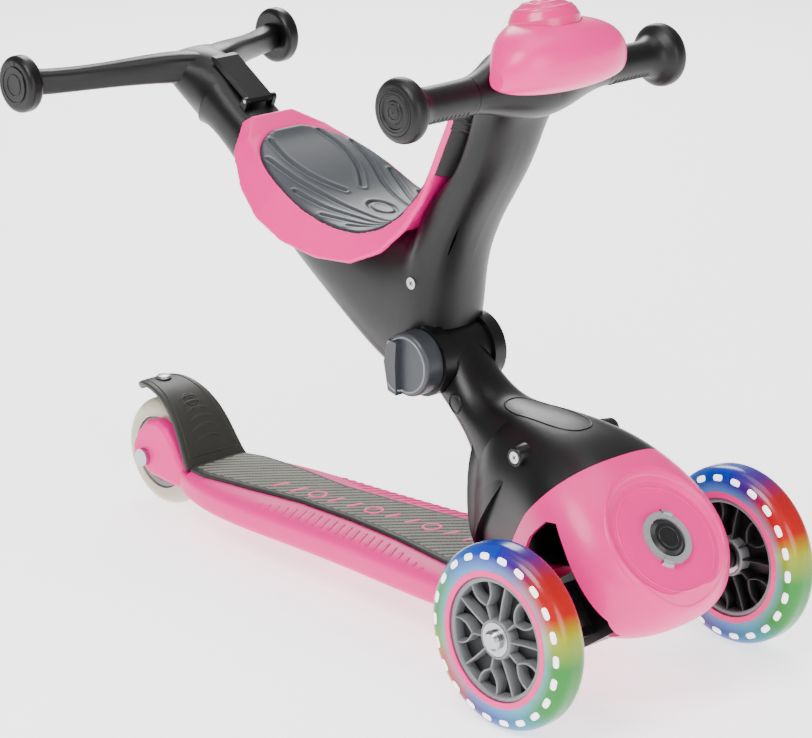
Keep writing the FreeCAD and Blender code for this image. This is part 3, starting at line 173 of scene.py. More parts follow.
def rainbow():
    """The clear tyre lit from inside: its hue runs round the axle, and it pales towards the hub."""
    look = Finish("clear_tyre_lit", "3BA0E8", 0.24, 0.03, vary=0.02, coat=0.15, specular=0.35)
    centre = look.add("ShaderNodeVectorMath", "SUBTRACT")
    centre.inputs[1].default_value = (AXLE_X * MM, 0.0, AXLE_Z * MM)
    look.link(look.coords.outputs["Object"], centre.inputs[0])
    flat = look.add("ShaderNodeVectorMath", "MULTIPLY")
    flat.inputs[1].default_value = (1.0, 0.0, 1.0)
    look.link(centre.outputs[0], flat.inputs[0])
    split = look.add("ShaderNodeSeparateXYZ")
    look.link(flat.outputs[0], split.inputs[0])
    angle = look.add("ShaderNodeMath", "ARCTAN2")
    look.link(split.outputs["X"], angle.inputs[0])
    look.link(split.outputs["Z"], angle.inputs[1])
    wrap = look.add("ShaderNodeMath", "FRACT")
    look.link(look.map_range(angle.outputs[0], (-math.pi, math.pi), (-0.5, 0.5)), wrap.inputs[0])
    hues = look.ramp(wrap.outputs[0], [(spot, shade(linear(code), 0.5)) for spot, code in (
        (0.0, "1230C0"), (0.05, "5A1094"), (0.10, "D00C1C"), (0.17, "E0180C"),
        (0.205, "C4C800"), (0.26, "10A020"), (0.36, "0A9E34"),
        (0.42, "00A0BC"), (0.50, "0848C8"), (0.56, "5A1094"),
        (0.60, "D80E10"), (0.67, "E24A08"), (0.71, "80B80A"),
        (0.76, "0C9A22"), (0.83, "089E50"), (0.88, "0070D4"), (0.97, "0A44CC"),
    )])
    radius = look.add("ShaderNodeVectorMath", "LENGTH")
    look.link(flat.outputs[0], radius.inputs[0])
    # Paler below the radii given in metres.
    band = look.map_range(radius.outputs["Value"], (0.0450, 0.0520), (0.3, 0.0))
    # The mix node's colour sockets are inputs 6 and 7 and output 2; input 0 is the factor.
    pale = look.add("ShaderNodeMix")
    pale.data_type = "RGBA"
    pale.inputs[7].default_value = linear("7CC8EE")
    look.link(band, pale.inputs[0])
    look.link(hues.outputs["Color"], pale.inputs[6])
    look.link(pale.outputs[2], look.shader.inputs["Base Color"])
    look.link(pale.outputs[2], look.shader.inputs["Emission Color"])
    look.shader.inputs["Emission Strength"].default_value = 0.06
    return look.material


LIT_TYRE = rainbow()

NODE_FINISH = {
    "front_left_tyre": LIT_TYRE, "front_right_tyre": LIT_TYRE, "rear_tyre": CREAM,
    "front_left_trim_rings": PINK, "front_right_trim_rings": PINK,
    "front_left_light_unit": BUTTON, "front_right_light_unit": BUTTON,
    "front_left_bearings": STEEL, "front_right_bearings": STEEL, "rear_bearings": STEEL,
    "front_left_spacer": STEEL, "front_right_spacer": STEEL, "rear_spacer": STEEL,
    "truck_body": BLACK, "knuckle_left": BLACK, "knuckle_right": BLACK, "tie_rod": STEEL,
    "axle_bolt_left": STEEL, "axle_bolt_right": STEEL, "kingpins": STEEL,
    "deck": PINK_DECK, "rear_axle": STEEL, "brake_fender": BRAKE, "brake_pad": GRIP,
    "brake_rivet": STEEL, "brake_pin": STEEL,
    "neck_lower_shell": BLACK, "neck_upper_shell": BLACK, "nose_cover": PINK,
    "lock_button": BUTTON, "lock_ring": SILVER, "pivot_bolt": STEEL, "fold_knob": KNOB, "pivot_cap": CAP,
    "frame_shell_left": BLACK, "frame_shell_right": BLACK, "post_bush": TUBE, "handlebar_tube": STEEL,
    "grip_left": GRIP, "grip_right": GRIP, "grip_cap_left": CAP, "grip_cap_right": CAP,
    "head_cover": PINK, "module_button": DOME_PINK, "sound_module": BUTTON,
    "t_bar_post": TUBE, "t_bar_handle": BLACK, "t_bar_caps": CAP, "height_lever": BLACK,
    "lever_pin": STEEL, "chassis_screws": STEEL, "frame_screws": STEEL,
}


# ------------------------------------------------------------------ mesh helpers
class Sculpt:
    """Collects grids of points, in millimetres of the row frame, into one smooth mesh."""

    def __init__(self):
        self.points = []
        self.faces = []
        self.slots = []

    def grid(self, rows, closed=False, slot=0, choose=None):
        """Rows of points; a missing point leaves a hole. choose(i, j) may give a face its material."""
        index = []
        for row in rows:
            line = []
            for spot in row:
                line.append(None if spot is None else len(self.points))
                if spot is not None:
                    self.points.append(Vector(spot) * MM)
            index.append(line)
        count = len(index)
        for i in range(count if closed else count - 1):
            one, two = index[i], index[(i + 1) % count]
            for j in range(len(one) - 1):
                corners = (one[j], one[j + 1], two[j + 1], two[j])
                if None not in corners:
                    self.faces.append(corners)
                    self.slots.append(choose(i, j) if choose else slot)

    def lathe(self, centre, profile, slot=0, steps=96):
        """Turn a profile of (radius, y) about an axle along Y through centre."""
        rows = []
        for k in range(steps):
            a = 2 * math.pi * k / steps
            rows.append([centre + Vector((r * math.sin(a), y, r * math.cos(a))) for r, y in profile])
        self.grid(rows, closed=True, slot=slot)

    def build(self, name, materials, body, slot, replaced=()):
        """Make the object and set it on its body; the slot argument is not used."""
        mesh = bpy.data.meshes.new(name)
        mesh.from_pydata(self.points, [], self.faces)
        for material in materials:
            mesh.materials.append(material)
        mesh.polygons.foreach_set("material_index", self.slots)
        mesh.polygons.foreach_set("use_smooth", [True] * len(self.faces))
        mesh.update()
        obj = bpy.data.objects.new(name, mesh)
        bpy.context.scene.collection.objects.link(obj)
        settle(obj, body, replaced)


def settle(obj, body, replaced=()):
    """Set a piece on its body and say which CAD nodes it replaces."""
    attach(obj, body)
    if replaced:
        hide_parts(*replaced)


def cast_tree(*names):
    """Search tree over CAD nodes at rest, in millimetres."""
    points, faces = [], []
    for name in names:
        mesh = NODES[name].data
        mesh.calc_loop_triangles()
        base = len(points)
        points += [v.co / MM for v in mesh.vertices]
        faces += [[base + i for i in t.vertices] for t in mesh.loop_triangles]
    return BVHTree.FromPolygons(points, faces)


def on_surface(tree, spot, direction, height, reach=60.0):
    """The point where a ray through spot meets the surface, lifted by height along the way back."""
    hit = tree.ray_cast(spot - direction * reach, direction, reach * 2)[0]
    return None if hit is None else hit - direction * height


# A bead's cross-section: (part of the half width, part of the height, negative below the surface).
SECTION = [(-1.0, -0.35), (-0.82, 0.35), (-0.55, 0.88), (-0.2, 1.0),
           (0.2, 1.0), (0.55, 0.88), (0.82, 0.35), (1.0, -0.35)]
TAPER_PART = 0.16


def ridge(sculpt, tree, path, direction, half, height, slot=0, taper=True, closed=False):
    """A raised rounded bead laid over a surface along a path; open ends taper, closed paths join theirs."""
    rows = []
    count = len(path)
    for i, spot in enumerate(path):
        if closed:
            before, after = path[i - 1], path[(i + 1) % count]
        else:
            before, after = path[max(i - 1, 0)], path[min(i + 1, count - 1)]
        across = (after - before).cross(direction).normalized()
        end = min(i, count - 1 - i) / max(1.0, TAPER_PART * count)
        size = min(1.0, 0.15 + end) if taper and not closed else 1.0
        rows.append([
            on_surface(tree, spot + across * half * size * u, direction, height * size * v if v > 0 else v * 0.6)
            for u, v in SECTION])
    sculpt.grid(rows, closed=closed, slot=slot)


def line(start, end, count=14):
    """Evenly spaced points from start to end."""
    return [start.lerp(end, i / (count - 1)) for i in range(count)]


def ring_path(centre, across, upward, radius, count=64, start=0.0, sweep=360.0):
    """Points of an arc about centre in the plane of two unit vectors."""
    total = count if sweep >= 360 else count - 1
    angles = [math.radians(start + sweep * i / total) for i in range(count)]
    return [centre + across * radius * math.cos(a) + upward * radius * math.sin(a) for a in angles]


def between(table, value, column):
    """Linear reading of a sorted table at value of its first column."""
    for one, two in zip(table, table[1:]):
        if one[0] <= value <= two[0]:
            part = (value - one[0]) / (two[0] - one[0])
            return one[column] + (two[column] - one[column]) * part
    return table[0][column] if value < table[0][0] else table[-1][column]


def smoothed_copy(node, voxel, rounds):
    """A fine, evenly meshed copy of a CAD node's solid, rounded by relaxing it."""
    source = bpy.data.objects.new(f"{node}_source", NODES[node].data.copy())
    bpy.context.scene.collection.objects.link(source)
    remesh = source.modifiers.new("Even", "REMESH")
    remesh.mode = "VOXEL"
    remesh.voxel_size = voxel
    relax = source.modifiers.new("Relax", "SMOOTH")
    relax.factor = 0.5
    relax.iterations = rounds
    bpy.context.view_layer.update()
    mesh = bpy.data.meshes.new_from_object(source.evaluated_get(bpy.context.evaluated_depsgraph_get()))
    bpy.data.objects.remove(source)
    mesh.polygons.foreach_set("use_smooth", [True] * len(mesh.polygons))
    return mesh


# ------------------------------------------------------------------ wheels
RIB_TOP = 10.2
# A spoke's cross-section: (offset across, height from the wheel's middle).
RIB_SECTION = [(-0.85, 1.5), (-0.7, RIB_TOP - 0.6), (-0.35, RIB_TOP),
               (0.35, RIB_TOP), (0.7, RIB_TOP - 0.6), (0.85, 1.5)]
# Profiles of (radius, distance along the axle). Both kinds of wheel take the same 608 bearing seat.
HUB_PROFILE = [(13.6, 3.0), (13.2, 9.9), (12.7, 10.75), (11.6, 10.95), (11.05, 10.6), (11.05, -10.6),
               (11.6, -10.95), (12.7, -10.75), (13.2, -9.9), (13.6, -3.0)]
FRONT_RIM = [(36.9, 0), (36.7, 9.4), (37.2, 10.6), (38.0, 10.95), (39.8, 10.95), (40.3, 10.6), (44.45, 10.6)]
FRONT_WEB = [(12.5, 3.0), (18.0, 2.2), (26.0, 1.8), (33.0, 2.2), (37.2, 3.0)]
REAR_RIM = [(20.4, 0), (20.2, 9.8), (20.8, 10.7), (21.8, 11.0), (25.4, 11.0), (26.95, 10.6)]
REAR_WEB = [(12.5, 3.8), (17.0, 3.2), (20.6, 3.8)]
HUB_EDGE = 12.8


def rib(sculpt, centre, path, side, slot):
    """A thin upright wall on the wheel's web, along a path of (radius, clock degrees)."""
    spots = [Vector((r * math.sin(math.radians(a)), 0, r * math.cos(math.radians(a)))) for r, a in path]
    rows = []
    for i, spot in enumerate(spots):
        before, after = spots[max(i - 1, 0)], spots[min(i + 1, len(spots) - 1)]
        across = (after - before).cross(SIDEWAYS).normalized()
        rows.append([centre + spot + across * u + SIDEWAYS * side * y for u, y in RIB_SECTION])
    sculpt.grid(rows, slot=slot)


def curve_points(path, steps=6):
    """Catmull-Rom points through a coarse path of pairs."""
    fine = []
    for i in range(len(path) - 1):
        a, b, c, d = path[max(i - 1, 0)], path[i], path[i + 1], path[min(i + 2, len(path) - 1)]
        for k in range(steps):
            t = k / steps
            fine.append(tuple(
                0.5 * (2 * q + (r - p) * t + (2 * p - 5 * q + 4 * r - s) * t * t + (3 * q - p - 3 * r + s) * t ** 3)
                for p, q, r, s in zip(a, b, c, d)))
    return fine + [path[-1]]


def core_body(centre, rim, web, rim_steps, web_steps):
    """The turned parts of a wheel's core: rim and hub in slot 0, and the web's two faces in slot 1."""
    core = Sculpt()
    core.lathe(centre, rim + [(r, -y) for r, y in reversed(rim[1:])] + [rim[0]], steps=rim_steps)
    core.lathe(centre, HUB_PROFILE, steps=72)
    for face in (1, -1):
        core.lathe(centre, [(r, face * y) for r, y in web], slot=1, steps=web_steps)
    return core


def front_core(side, sign):
    """Grey rim and hub, black web, five forked and five straight spokes on each face."""
    centre = Vector((AXLE_X, TRACK_Y * sign, AXLE_Z))
    core = core_body(centre, FRONT_RIM, FRONT_WEB, 96, 96)
    for face in (-1, 1):
        tone = 0 if face == sign else 1  # grey spokes outside, black ones inside
        for k in range(5):
            fork = 48 + 72 * k
            rib(core, centre, curve_points([(HUB_EDGE, fork), (17.5, fork), (22.0, fork)]), face, tone)
            for lean in (-1, 1):
                arm = [(21.6, fork), (24.0, fork + 7 * lean), (27.6, fork + 12.5 * lean),
                       (32.5, fork + 14 * lean), (37.4, fork + 12.5 * lean)]
                rib(core, centre, curve_points(arm), face, tone)
            straight = [(HUB_EDGE, fork - 36), (24.0, fork - 37), (37.4, fork - 36)]
            rib(core, centre, curve_points(straight), face, tone)
    core.build(f"front_{side}_spoked_core", [CORE, WEB], f"front_wheel_{side}", "wheel_core",
               [f"front_{side}_core"])


def lamp_windows(side, sign):
    """Rounded lamp windows moulded round both shoulders of a front tyre."""
    centre = Vector((AXLE_X, TRACK_Y * sign, AXLE_Z))
    tree = cast_tree(f"front_{side}_tyre")
    lamps = Sculpt()
    count, middle, half_long, half_wide = 22, 53.9, 4.3, 2.2
    for face in (-1, 1):
        direction = SIDEWAYS * -face
        for k in range(count):
            a = 2 * math.pi * (k + 0.4) / count
            outward = Vector((math.sin(a), 0, math.cos(a)))
            tangent = Vector((math.cos(a), 0, -math.sin(a)))
            rows = []
            for ring_size in (1.0, 0.86, 0.6, 0.3, 0.02):
                row = []
                for m in range(25):
                    t = 2 * math.pi * m / 24
                    c, s = math.cos(t), math.sin(t)
                    u = math.copysign(abs(c) ** 0.55, c) * half_long * ring_size
                    v = math.copysign(abs(s) ** 0.75, s) * half_wide * ring_size
                    height = 0.28 - 0.4 * ring_size ** 6
                    row.append(on_surface(tree, centre + outward * (middle + v) + tangent * u, direction, height))
                rows.append(row)
            lamps.grid(rows)
    lamps.build(f"front_{side}_lamp_windows", [LAMP], f"front_wheel_{side}", "clear_tyre")


def rear_core():
    """The rear wheel's grey rim and hub with a black web and seven spokes a side."""
    core = core_body(REAR_WHEEL, REAR_RIM, REAR_WEB, 72, 72)
    for face in (-1, 1):
        for k in range(7):
            turn = 360 * k / 7
            rib(core, REAR_WHEEL, curve_points([(HUB_EDGE, turn), (17.0, turn + 4), (20.8, turn)]), face, 0)
    core.build("rear_spoked_core", [CORE, WEB], "rear_wheel", "grey_core", ["rear_core"])


# ------------------------------------------------------------------ deck
# The mat's outline as (x, half width), and the height over the deck that rays are dropped from.
MAT_PLAN = [(-188.6, 26), (-170, 29.5), (-124, 27), (-73, 22), (-20, 24), (34, 29), (88, 37), (116, 39)]
ABOVE_DECK = 60
RIDGE_PITCH = 6.0
RIDGE_X, RIDGE_Y = 0.737, -0.676  # unit vector across the ridges
# The deck's edge as (x, half width).
DECK_PLAN = [(-200, 27.0), (-178, 36.0), (-135, 44.5), (-80, 47.5),
             (-20, 50.0), (40, 54.0), (100, 57.5), (148, 55)]


def deck_mat():
    """The tread mat: ridges run slantwise across it inside a plain dark border; the grooves between the ridges take
    the border's dark rubber as painted shade.
    """
    tree = cast_tree("deck_mat")
    mat = Sculpt()
    long_steps, wide_steps = 430, 110
    start, end, margin = MAT_PLAN[0][0] + 0.2, MAT_PLAN[-1][0] - 0.2, 3.6
    rows, border_and_shade_flags = [], []
    for i in range(long_steps + 1):
        x = start + (end - start) * i / long_steps
        half = between(MAT_PLAN, x, 1) - 0.25
        row, border_and_shade_row = [], []
        for j in range(wide_steps + 1):
            y = half * (2 * j / wide_steps - 1)
            inset = min(half - abs(y), x - start, end - x)
            crest = 0.5 + 0.5 * math.cos(2 * math.pi * (RIDGE_X * x + RIDGE_Y * y) / RIDGE_PITCH)
            height = 0.05 + (0.55 * min(1.0, 1.6 * crest) if inset > margin else 0.2)
            if inset < 0.5:
                height = -0.3
            row.append(on_surface(tree, Vector((x, y, ABOVE_DECK)), DOWN, height))
            # Slot 1 for the real dark border and, as painted shade, for the grooves between the ridges.
            border_and_shade_row.append(1 if inset <= margin or crest < 0.36 else 0)
        rows.append(row)
        border_and_shade_flags.append(border_and_shade_row)
    mat.grid([list(reversed(row)) for row in rows],
             choose=lambda i, j: border_and_shade_flags[i][wide_steps - 1 - j])
    for side in (-1, 1):
        rows = []
        for i in range(121):
            x = start + (end - start) * i / 120
            half = between(MAT_PLAN, x, 1)
            top = on_surface(tree, Vector((x, side * (half - 0.4), ABOVE_DECK)), DOWN, 0.0)
            if top is None:
                continue
            rows.append([(x, side * (half - 0.9), top.z + 0.1), (x, side * (half - 0.15), top.z - 0.25),
                         (x, side * half, top.z - 0.8), (x, side * half, top.z - 2.1)])
        mat.grid(rows, slot=1)
    for x, out in ((start, -0.6), (end, 0.6)):
        half = between(MAT_PLAN, x, 1) - 0.4
        rows = []
        for j in range(31):
            y = half * (j / 15 - 1)
            top = on_surface(tree, Vector((x, y, ABOVE_DECK)), DOWN, 0.0)
            if top is not None:
                rows.append([(x - out, y, top.z + 0.1), (x, y, top.z - 0.2), (x, y, top.z - 2.1)])
        mat.grid(rows, slot=1)
    mat.build("ridged_deck_mat", [MAT_RIDGE, MAT_BORDER_AND_GROOVE_SHADE], "chassis", "mat_rubber", ["deck_mat"])


def deck_relief():
    """Slanted grip ribs along both flanks of the deck."""
    tree = cast_tree("deck")
    ribs = Sculpt()
    count = 22
    for side in (-1, 1):
        for k in range(count):
            x = -94 + 8.4 * k
            part = k / (count - 1)
            outer = between(DECK_PLAN, x, 1) - 4.5
            inner = between(MAT_PLAN, x, 1) + 5.0
            reach = (outer - inner) * min(1.0, 0.35 + 2.6 * part, 0.3 + 3.4 * (1 - part))
            start = Vector((x, side * outer, ABOVE_DECK))
            end = Vector((x - 0.42 * reach, side * (outer - reach), ABOVE_DECK))
            ridge(ribs, tree, line(start, end, 16), DOWN, 1.9, 0.75)
    ribs.build("deck_flank_ribs", [PINK_DECK], "chassis", "pink_deck")


def deck_marks():
    """A row of plain raised bars and rings along the mat."""
    tree = cast_tree("deck_mat")
    marks = Sculpt()
    first, last = Vector((-108, -9, ABOVE_DECK)), Vector((74, 3, ABOVE_DECK))
    along = (last - first).normalized()
    across = Vector((-along.y, along.x, 0))
    kinds = "bbrbbrbbrbb"  # b is a bar and r a ring
    for k, kind in enumerate(kinds):
        spot = first.lerp(last, k / (len(kinds) - 1))
        if kind == "r":
            ridge(marks, tree, ring_path(spot, along, across, 6.2, 48), DOWN, 1.5, 0.95, closed=True)
        else:
            slant = (across + along * 0.35).normalized()
            ridge(marks, tree, line(spot - slant * 7.5, spot + slant * 7.5, 22), DOWN, 2.0, 0.95)
    marks.build("deck_raised_marks", [PINK_MARK], "chassis", "pink_gloss")


# ------------------------------------------------------------------ brake
# The fender's top line as (x, z, half width), and the direction that its face is seen along.
BRAKE_LINE = [(-268, 86.0, 9.0), (-260, 91.0, 14.5), (-248, 92.5, 17.0), (-232, 89.5, 19.5), (-217, 81.0, 22.0),
              (-206, 69.5, 24.0), (-197, 55.5, 26.0), (-189.2, 44.0, 28.0)]
BRAKE_VIEW = Vector((-0.62, 0, -0.785)).normalized()


def brake_spot(x, y):
    """The point over the fender's top line at x, moved sideways by y."""
    return Vector((x, y, between(BRAKE_LINE, x, 1)))


def brake_relief():
    """The fender's moulded outline, round boss and curved tread ribs."""
    tree = cast_tree("brake_fender")
    relief = Sculpt()
    low, high, inset = -258.0, -193.5, 4.6
    edge = []
    for side in (-1, 1):
        spots = []
        for i in range(48):
            x = low + (high - low) * i / 47
            spots.append(brake_spot(x, side * (between(BRAKE_LINE, x, 2) - inset)))
        edge.append(spots)
    bottom = line(edge[0][-1], edge[1][-1], 20)
    top = line(edge[1][0], edge[0][0], 12)
    loop = edge[0] + bottom[1:-1] + list(reversed(edge[1])) + top[1:-1]
    ridge(relief, tree, loop, BRAKE_VIEW, 0.7, 0.45, closed=True)
    for k in range(6):
        x = -198.5 - 4.6 * k
        half = 13.0 - 0.9 * k
        arc = [brake_spot(x - 2.2 * (1 - (y / half) ** 2), y) for y in [half * (i / 12 - 1) for i in range(25)]]
        ridge(relief, tree, arc, BRAKE_VIEW, 1.0, 0.7)
    centre = brake_spot(-219.0, 0)
    upward = Vector((BRAKE_VIEW.z, 0, -BRAKE_VIEW.x))
    for radius, half in ((7.0, 0.9), (3.8, 0.6)):
        ring = ring_path(centre, SIDEWAYS, upward, radius, 48)
        ridge(relief, tree, ring, BRAKE_VIEW, half, 0.6, closed=True)
    relief.build("brake_moulded_relief", [BRAKE], "rear_brake", "brake_plastic")


# ------------------------------------------------------------------ seat
# Grooves of the pad's left half as (x, y), and the oval mark in its middle.
PAD_GROOVES = [
    [(-100, 22), (-80, 25), (-58, 20), (-40, 8)],
    [(-84, 38), (-60, 34), (-36, 25), (-6, 18), (26, 16)],
    [(-50, 43), (-30, 36), (-4, 26), (28, 22)],
    [(-22, 44), (-4, 35), (24, 26)],
    [(0, 41), (14, 34), (30, 27)],
]
PAD_OVAL = [(-22, 0), (-19, 5.5), (-11, 8), (-3, 5.5), (0, 0), (-3, -5.5), (-11, -8), (-19, -5.5), (-22, 0)]
GROOVE_REACH = 9.0


def seat_cushion():
    """The seat pad: a softened, slightly crowned cushion with grooves that fan towards the column."""
    mesh = smoothed_copy("seat_pad", 0.0011, 6)
    mirrored = [[(x, -y) for x, y in path] for path in PAD_GROOVES]
    segments = []
    for path in mirrored + PAD_GROOVES + [PAD_OVAL]:
        fine = curve_points(path, 5)
        segments += list(zip(fine, fine[1:]))
    normals = [v.normal.copy() for v in mesh.vertices]
    for vertex, normal in zip(mesh.vertices, normals):
        if normal.z < 0.25:
            continue
        x, y = vertex.co.x / MM, vertex.co.y / MM
        nearest = GROOVE_REACH
        for (ax, ay), (bx, by) in segments:
            if abs(ax - x) > GROOVE_REACH or abs(ay - y) > GROOVE_REACH:
                continue
            dx, dy = bx - ax, by - ay
            t = max(0.0, min(1.0, ((x - ax) * dx + (y - ay) * dy) / (dx * dx + dy * dy + 1e-9)))
            nearest = min(nearest, math.hypot(x - ax - dx * t, y - ay - dy * t))
        groove = -1.0 * math.exp(-(nearest / 1.15) ** 2) + 0.35 * math.exp(-((nearest - 2.6) / 1.1) ** 2)
        crown = 1.1 * max(0.0, 1 - (y / 50) ** 2)
        vertex.co += normal * (groove + crown) * MM
    mesh.update()
    mesh.materials.clear()
    mesh.materials.append(PAD)
    cushion = bpy.data.objects.new("seat_cushion", mesh)
    bpy.context.scene.collection.objects.link(cushion)
    settle(cushion, "seat_frame", ["seat_pad"])


# Height above which the trim is bedded on the column, and the widest space that the bed closes.
TRIM_FOOT, TRIM_GAP = 312.0, 16.0


def saddle_rim():
    """The saddle's smooth pink rim and column trim, with a black bed that closes the space up to the column."""
    mesh = smoothed_copy("seat_rim", 0.0012, 10)
    mesh.materials.clear()
    mesh.materials.append(PINK)
    mesh.materials.append(BLACK)
    column = cast_tree("frame_shell_left", "frame_shell_right")
    landed = {}
    for vertex in mesh.vertices:
        if vertex.co.z > TRIM_FOOT * MM and vertex.normal.x > 0.2:
            spot = vertex.co / MM
            hit = column.ray_cast(spot, FORWARD, TRIM_GAP)[0]
            if hit is not None:
                landed[vertex.index] = (hit + FORWARD) * MM
    for index, spot in landed.items():
        mesh.vertices[index].co = spot
    for face in mesh.polygons:
        if any(index in landed for index in face.vertices):
            face.material_index = 1
    rim = bpy.data.objects.new("saddle_rim", mesh)
    bpy.context.scene.collection.objects.link(rim)
    settle(rim, "seat_frame", ["seat_rim"])


# ------------------------------------------------------------------ handles
def grip_relief(side, sign):
    """Finger ribs under a grip, and two rings on its end."""
    tree = cast_tree(f"grip_{side}", f"grip_cap_{side}")
    relief = Sculpt()
    for k in range(11):
        y = sign * (64 + 3.6 * k)
        for lean in (-1, 1):
            start = Vector((BAR_X + lean * 1.2, y, 366))
            end = Vector((BAR_X + lean * 9.4, y + sign * 1.6, 366))
            ridge(relief, tree, line(start, end, 12), UP, 0.95, 0.8)
    tip = Vector((BAR_X, sign * 120, BAR_Z))
    inward = SIDEWAYS * -sign
    ridge(relief, tree, ring_path(tip, FORWARD, UP, 13.0, 64), inward, 0.55, 0.45, closed=True)
    ridge(relief, tree, ring_path(tip, FORWARD, UP, 4.6, 40), inward, 0.5, 0.4, closed=True)
    relief.build(f"grip_{side}_relief", [GRIP], "seat_frame", "grip_rubber")


# A grip's outside as (radius, distance from the middle of the bar).
GRIP_BORE = 8.1
GRIP_PROFILE = [(11.6, 58.5), (12.0, 59.2), (11.7, 64.0), (11.5, 75.0), (11.5, 92.0), (12.1, 99.0), (14.2, 104.2),
                (17.8, 107.2), (20.0, 109.6), (20.8, 113.0), (20.2, 117.0), (18.0, 119.7), (15.1, 120.4)]


def smooth_grip(side, sign):
    """A grip that flares smoothly into its rounded end disc."""
    grip = Sculpt()
    profile = [(GRIP_BORE, 58.5)] + curve_points(GRIP_PROFILE, 5) + [(15.0, 117.6), (GRIP_BORE, 117.6)]
    grip.lathe(Vector((BAR_X, 0, BAR_Z)), [(r, sign * y) for r, y in profile])
    grip.build(f"grip_{side}_flared", [GRIP], "seat_frame", "grip_rubber", [f"grip_{side}"])


def t_bar_relief():
    """Rings and a small key on the T-bar's end discs."""
    tree = cast_tree("t_bar_caps", "t_bar_handle")
    relief = Sculpt()
    for sign in (-1, 1):
        tip = Vector((T_BAR_X, sign * 122, T_BAR_Z))
        inward = SIDEWAYS * -sign
        ridge(relief, tree, ring_path(tip, FORWARD, UP, 12.5, 64), inward, 0.5, 0.5, closed=True)
        ridge(relief, tree, ring_path(tip, FORWARD, UP, 7.4, 48), inward, 0.5, 0.5, closed=True)
        ridge(relief, tree, line(tip + UP * 13.4, tip + UP * 16.8, 8), inward, 1.0, 0.4, taper=False)
    relief.build("t_bar_cap_relief", [CAP], "t_bar", "cap_plastic")


def knob_relief():
    """The lighter round bead at the fold knob's edge."""
    tree = cast_tree("fold_knob")
    relief = Sculpt()
    ridge(relief, tree, ring_path(KNOB_CENTRE, FORWARD, UP, 18.4, 72), SIDEWAYS, 0.7, 0.5, closed=True)
    relief.build("fold_knob_bead", [KNOB_LIGHT], "fold_knob", "grey_plastic")


# ------------------------------------------------------------------ nose and head
def nose_relief():
    """Two shallow moulded rings round the lock, the lock ring's two lugs and the button's ring."""
    outward = Vector((math.cos(LOCK_LEAN), 0, math.sin(LOCK_LEAN)))
    upward = Vector((-math.sin(LOCK_LEAN), 0, math.cos(LOCK_LEAN)))
    relief = Sculpt()
    tree = cast_tree("nose_cover")
    ridge(relief, tree, ring_path(LOCK_CENTRE, SIDEWAYS, upward, 46.0, 120), -outward, 2.6, 0.5, closed=True)
    ridge(relief, tree, ring_path(LOCK_CENTRE, SIDEWAYS, upward, 36.5, 110), -outward, 0.8, 0.3, closed=True)
    relief.build("nose_moulded_rings", [PINK], "chassis", "pink_gloss")
    lugs = Sculpt()
    ring = cast_tree("lock_ring", "nose_cover")
    for angle in (58, 238):
        arc = ring_path(LOCK_CENTRE, SIDEWAYS, upward, 18.6, 14, angle - 12, 24)
        ridge(lugs, ring, arc, -outward, 2.4, 2.2, taper=False)
    lugs.build("lock_ring_lugs", [SILVER], "chassis", "silver_ring")
    cap = Sculpt()
    button = cast_tree("lock_button")
    ridge(cap, button, ring_path(LOCK_CENTRE, SIDEWAYS, upward, 7.2, 48), -outward, 0.6, 0.4, closed=True)
    cap.build("lock_button_ring", [BUTTON], "lock_button", "button_black")


def neck_relief():
    """A long moulded panel on the neck's top, and raised rims round the screws."""
    tree = cast_tree("neck_upper_shell", "neck_lower_shell")
    relief = Sculpt()
    loop = []
    for m in range(96):
        t = 2 * math.pi * m / 96
        c, s = math.cos(t), math.sin(t)
        x = 148 + math.copysign(abs(c) ** 0.6, c) * 34
        loop.append(Vector((x, math.copysign(abs(s) ** 0.8, s) * 15, 200)))
    ridge(relief, tree, loop, DOWN, 0.9, 0.5, closed=True)
    for sign in (-1, 1):
        x, y, z = NECK_SCREW
        rim = ring_path(Vector((x, sign * y, z)), FORWARD, UP, 6.0, 40)
        ridge(relief, tree, rim, SIDEWAYS * -sign, 0.9, 0.8, closed=True)
        boss = [(7.6, 35.0), (6.6, 43.9), (5.8, 45.0), (4.7, 45.1), (4.15, 44.2), (4.1, 37.0)]
        relief.lathe(Vector((NOSE_SCREW[0], 0, NOSE_SCREW[2])), [(r, sign * y) for r, y in boss], steps=40)
    relief.build("neck_moulded_relief", [BLACK], "chassis", "black_plastic")


def dome_relief():
    """Stepped rings on the head's push dome."""
    outward = Vector((math.sin(DOME_LEAN), 0, math.cos(DOME_LEAN)))
    forward = Vector((math.cos(DOME_LEAN), 0, -math.sin(DOME_LEAN)))
    tree = cast_tree("module_button")
    relief = Sculpt()
    for radius, half in ((18.5, 1.1), (13.0, 0.9), (7.5, 0.8)):
        ring = ring_path(DOME_CENTRE, forward, SIDEWAYS, radius, 80)
        ridge(relief, tree, ring, -outward, half, 0.75, closed=True)
    relief.build("dome_step_rings", [DOME_PINK], "module_button", "dome_pink")


# ------------------------------------------------------------------ fasteners
# For each node of screws, its body and the (x, y, z) of each pair; y is mirrored.
SCREW_PAIRS = {
    "chassis_screws": ("chassis", [NECK_SCREW, NOSE_SCREW]),
    "frame_screws": ("seat_frame", [(-131, 21.5, 292), (50, 30.6, 236)]),
}
CROSS_ARM = 1.7


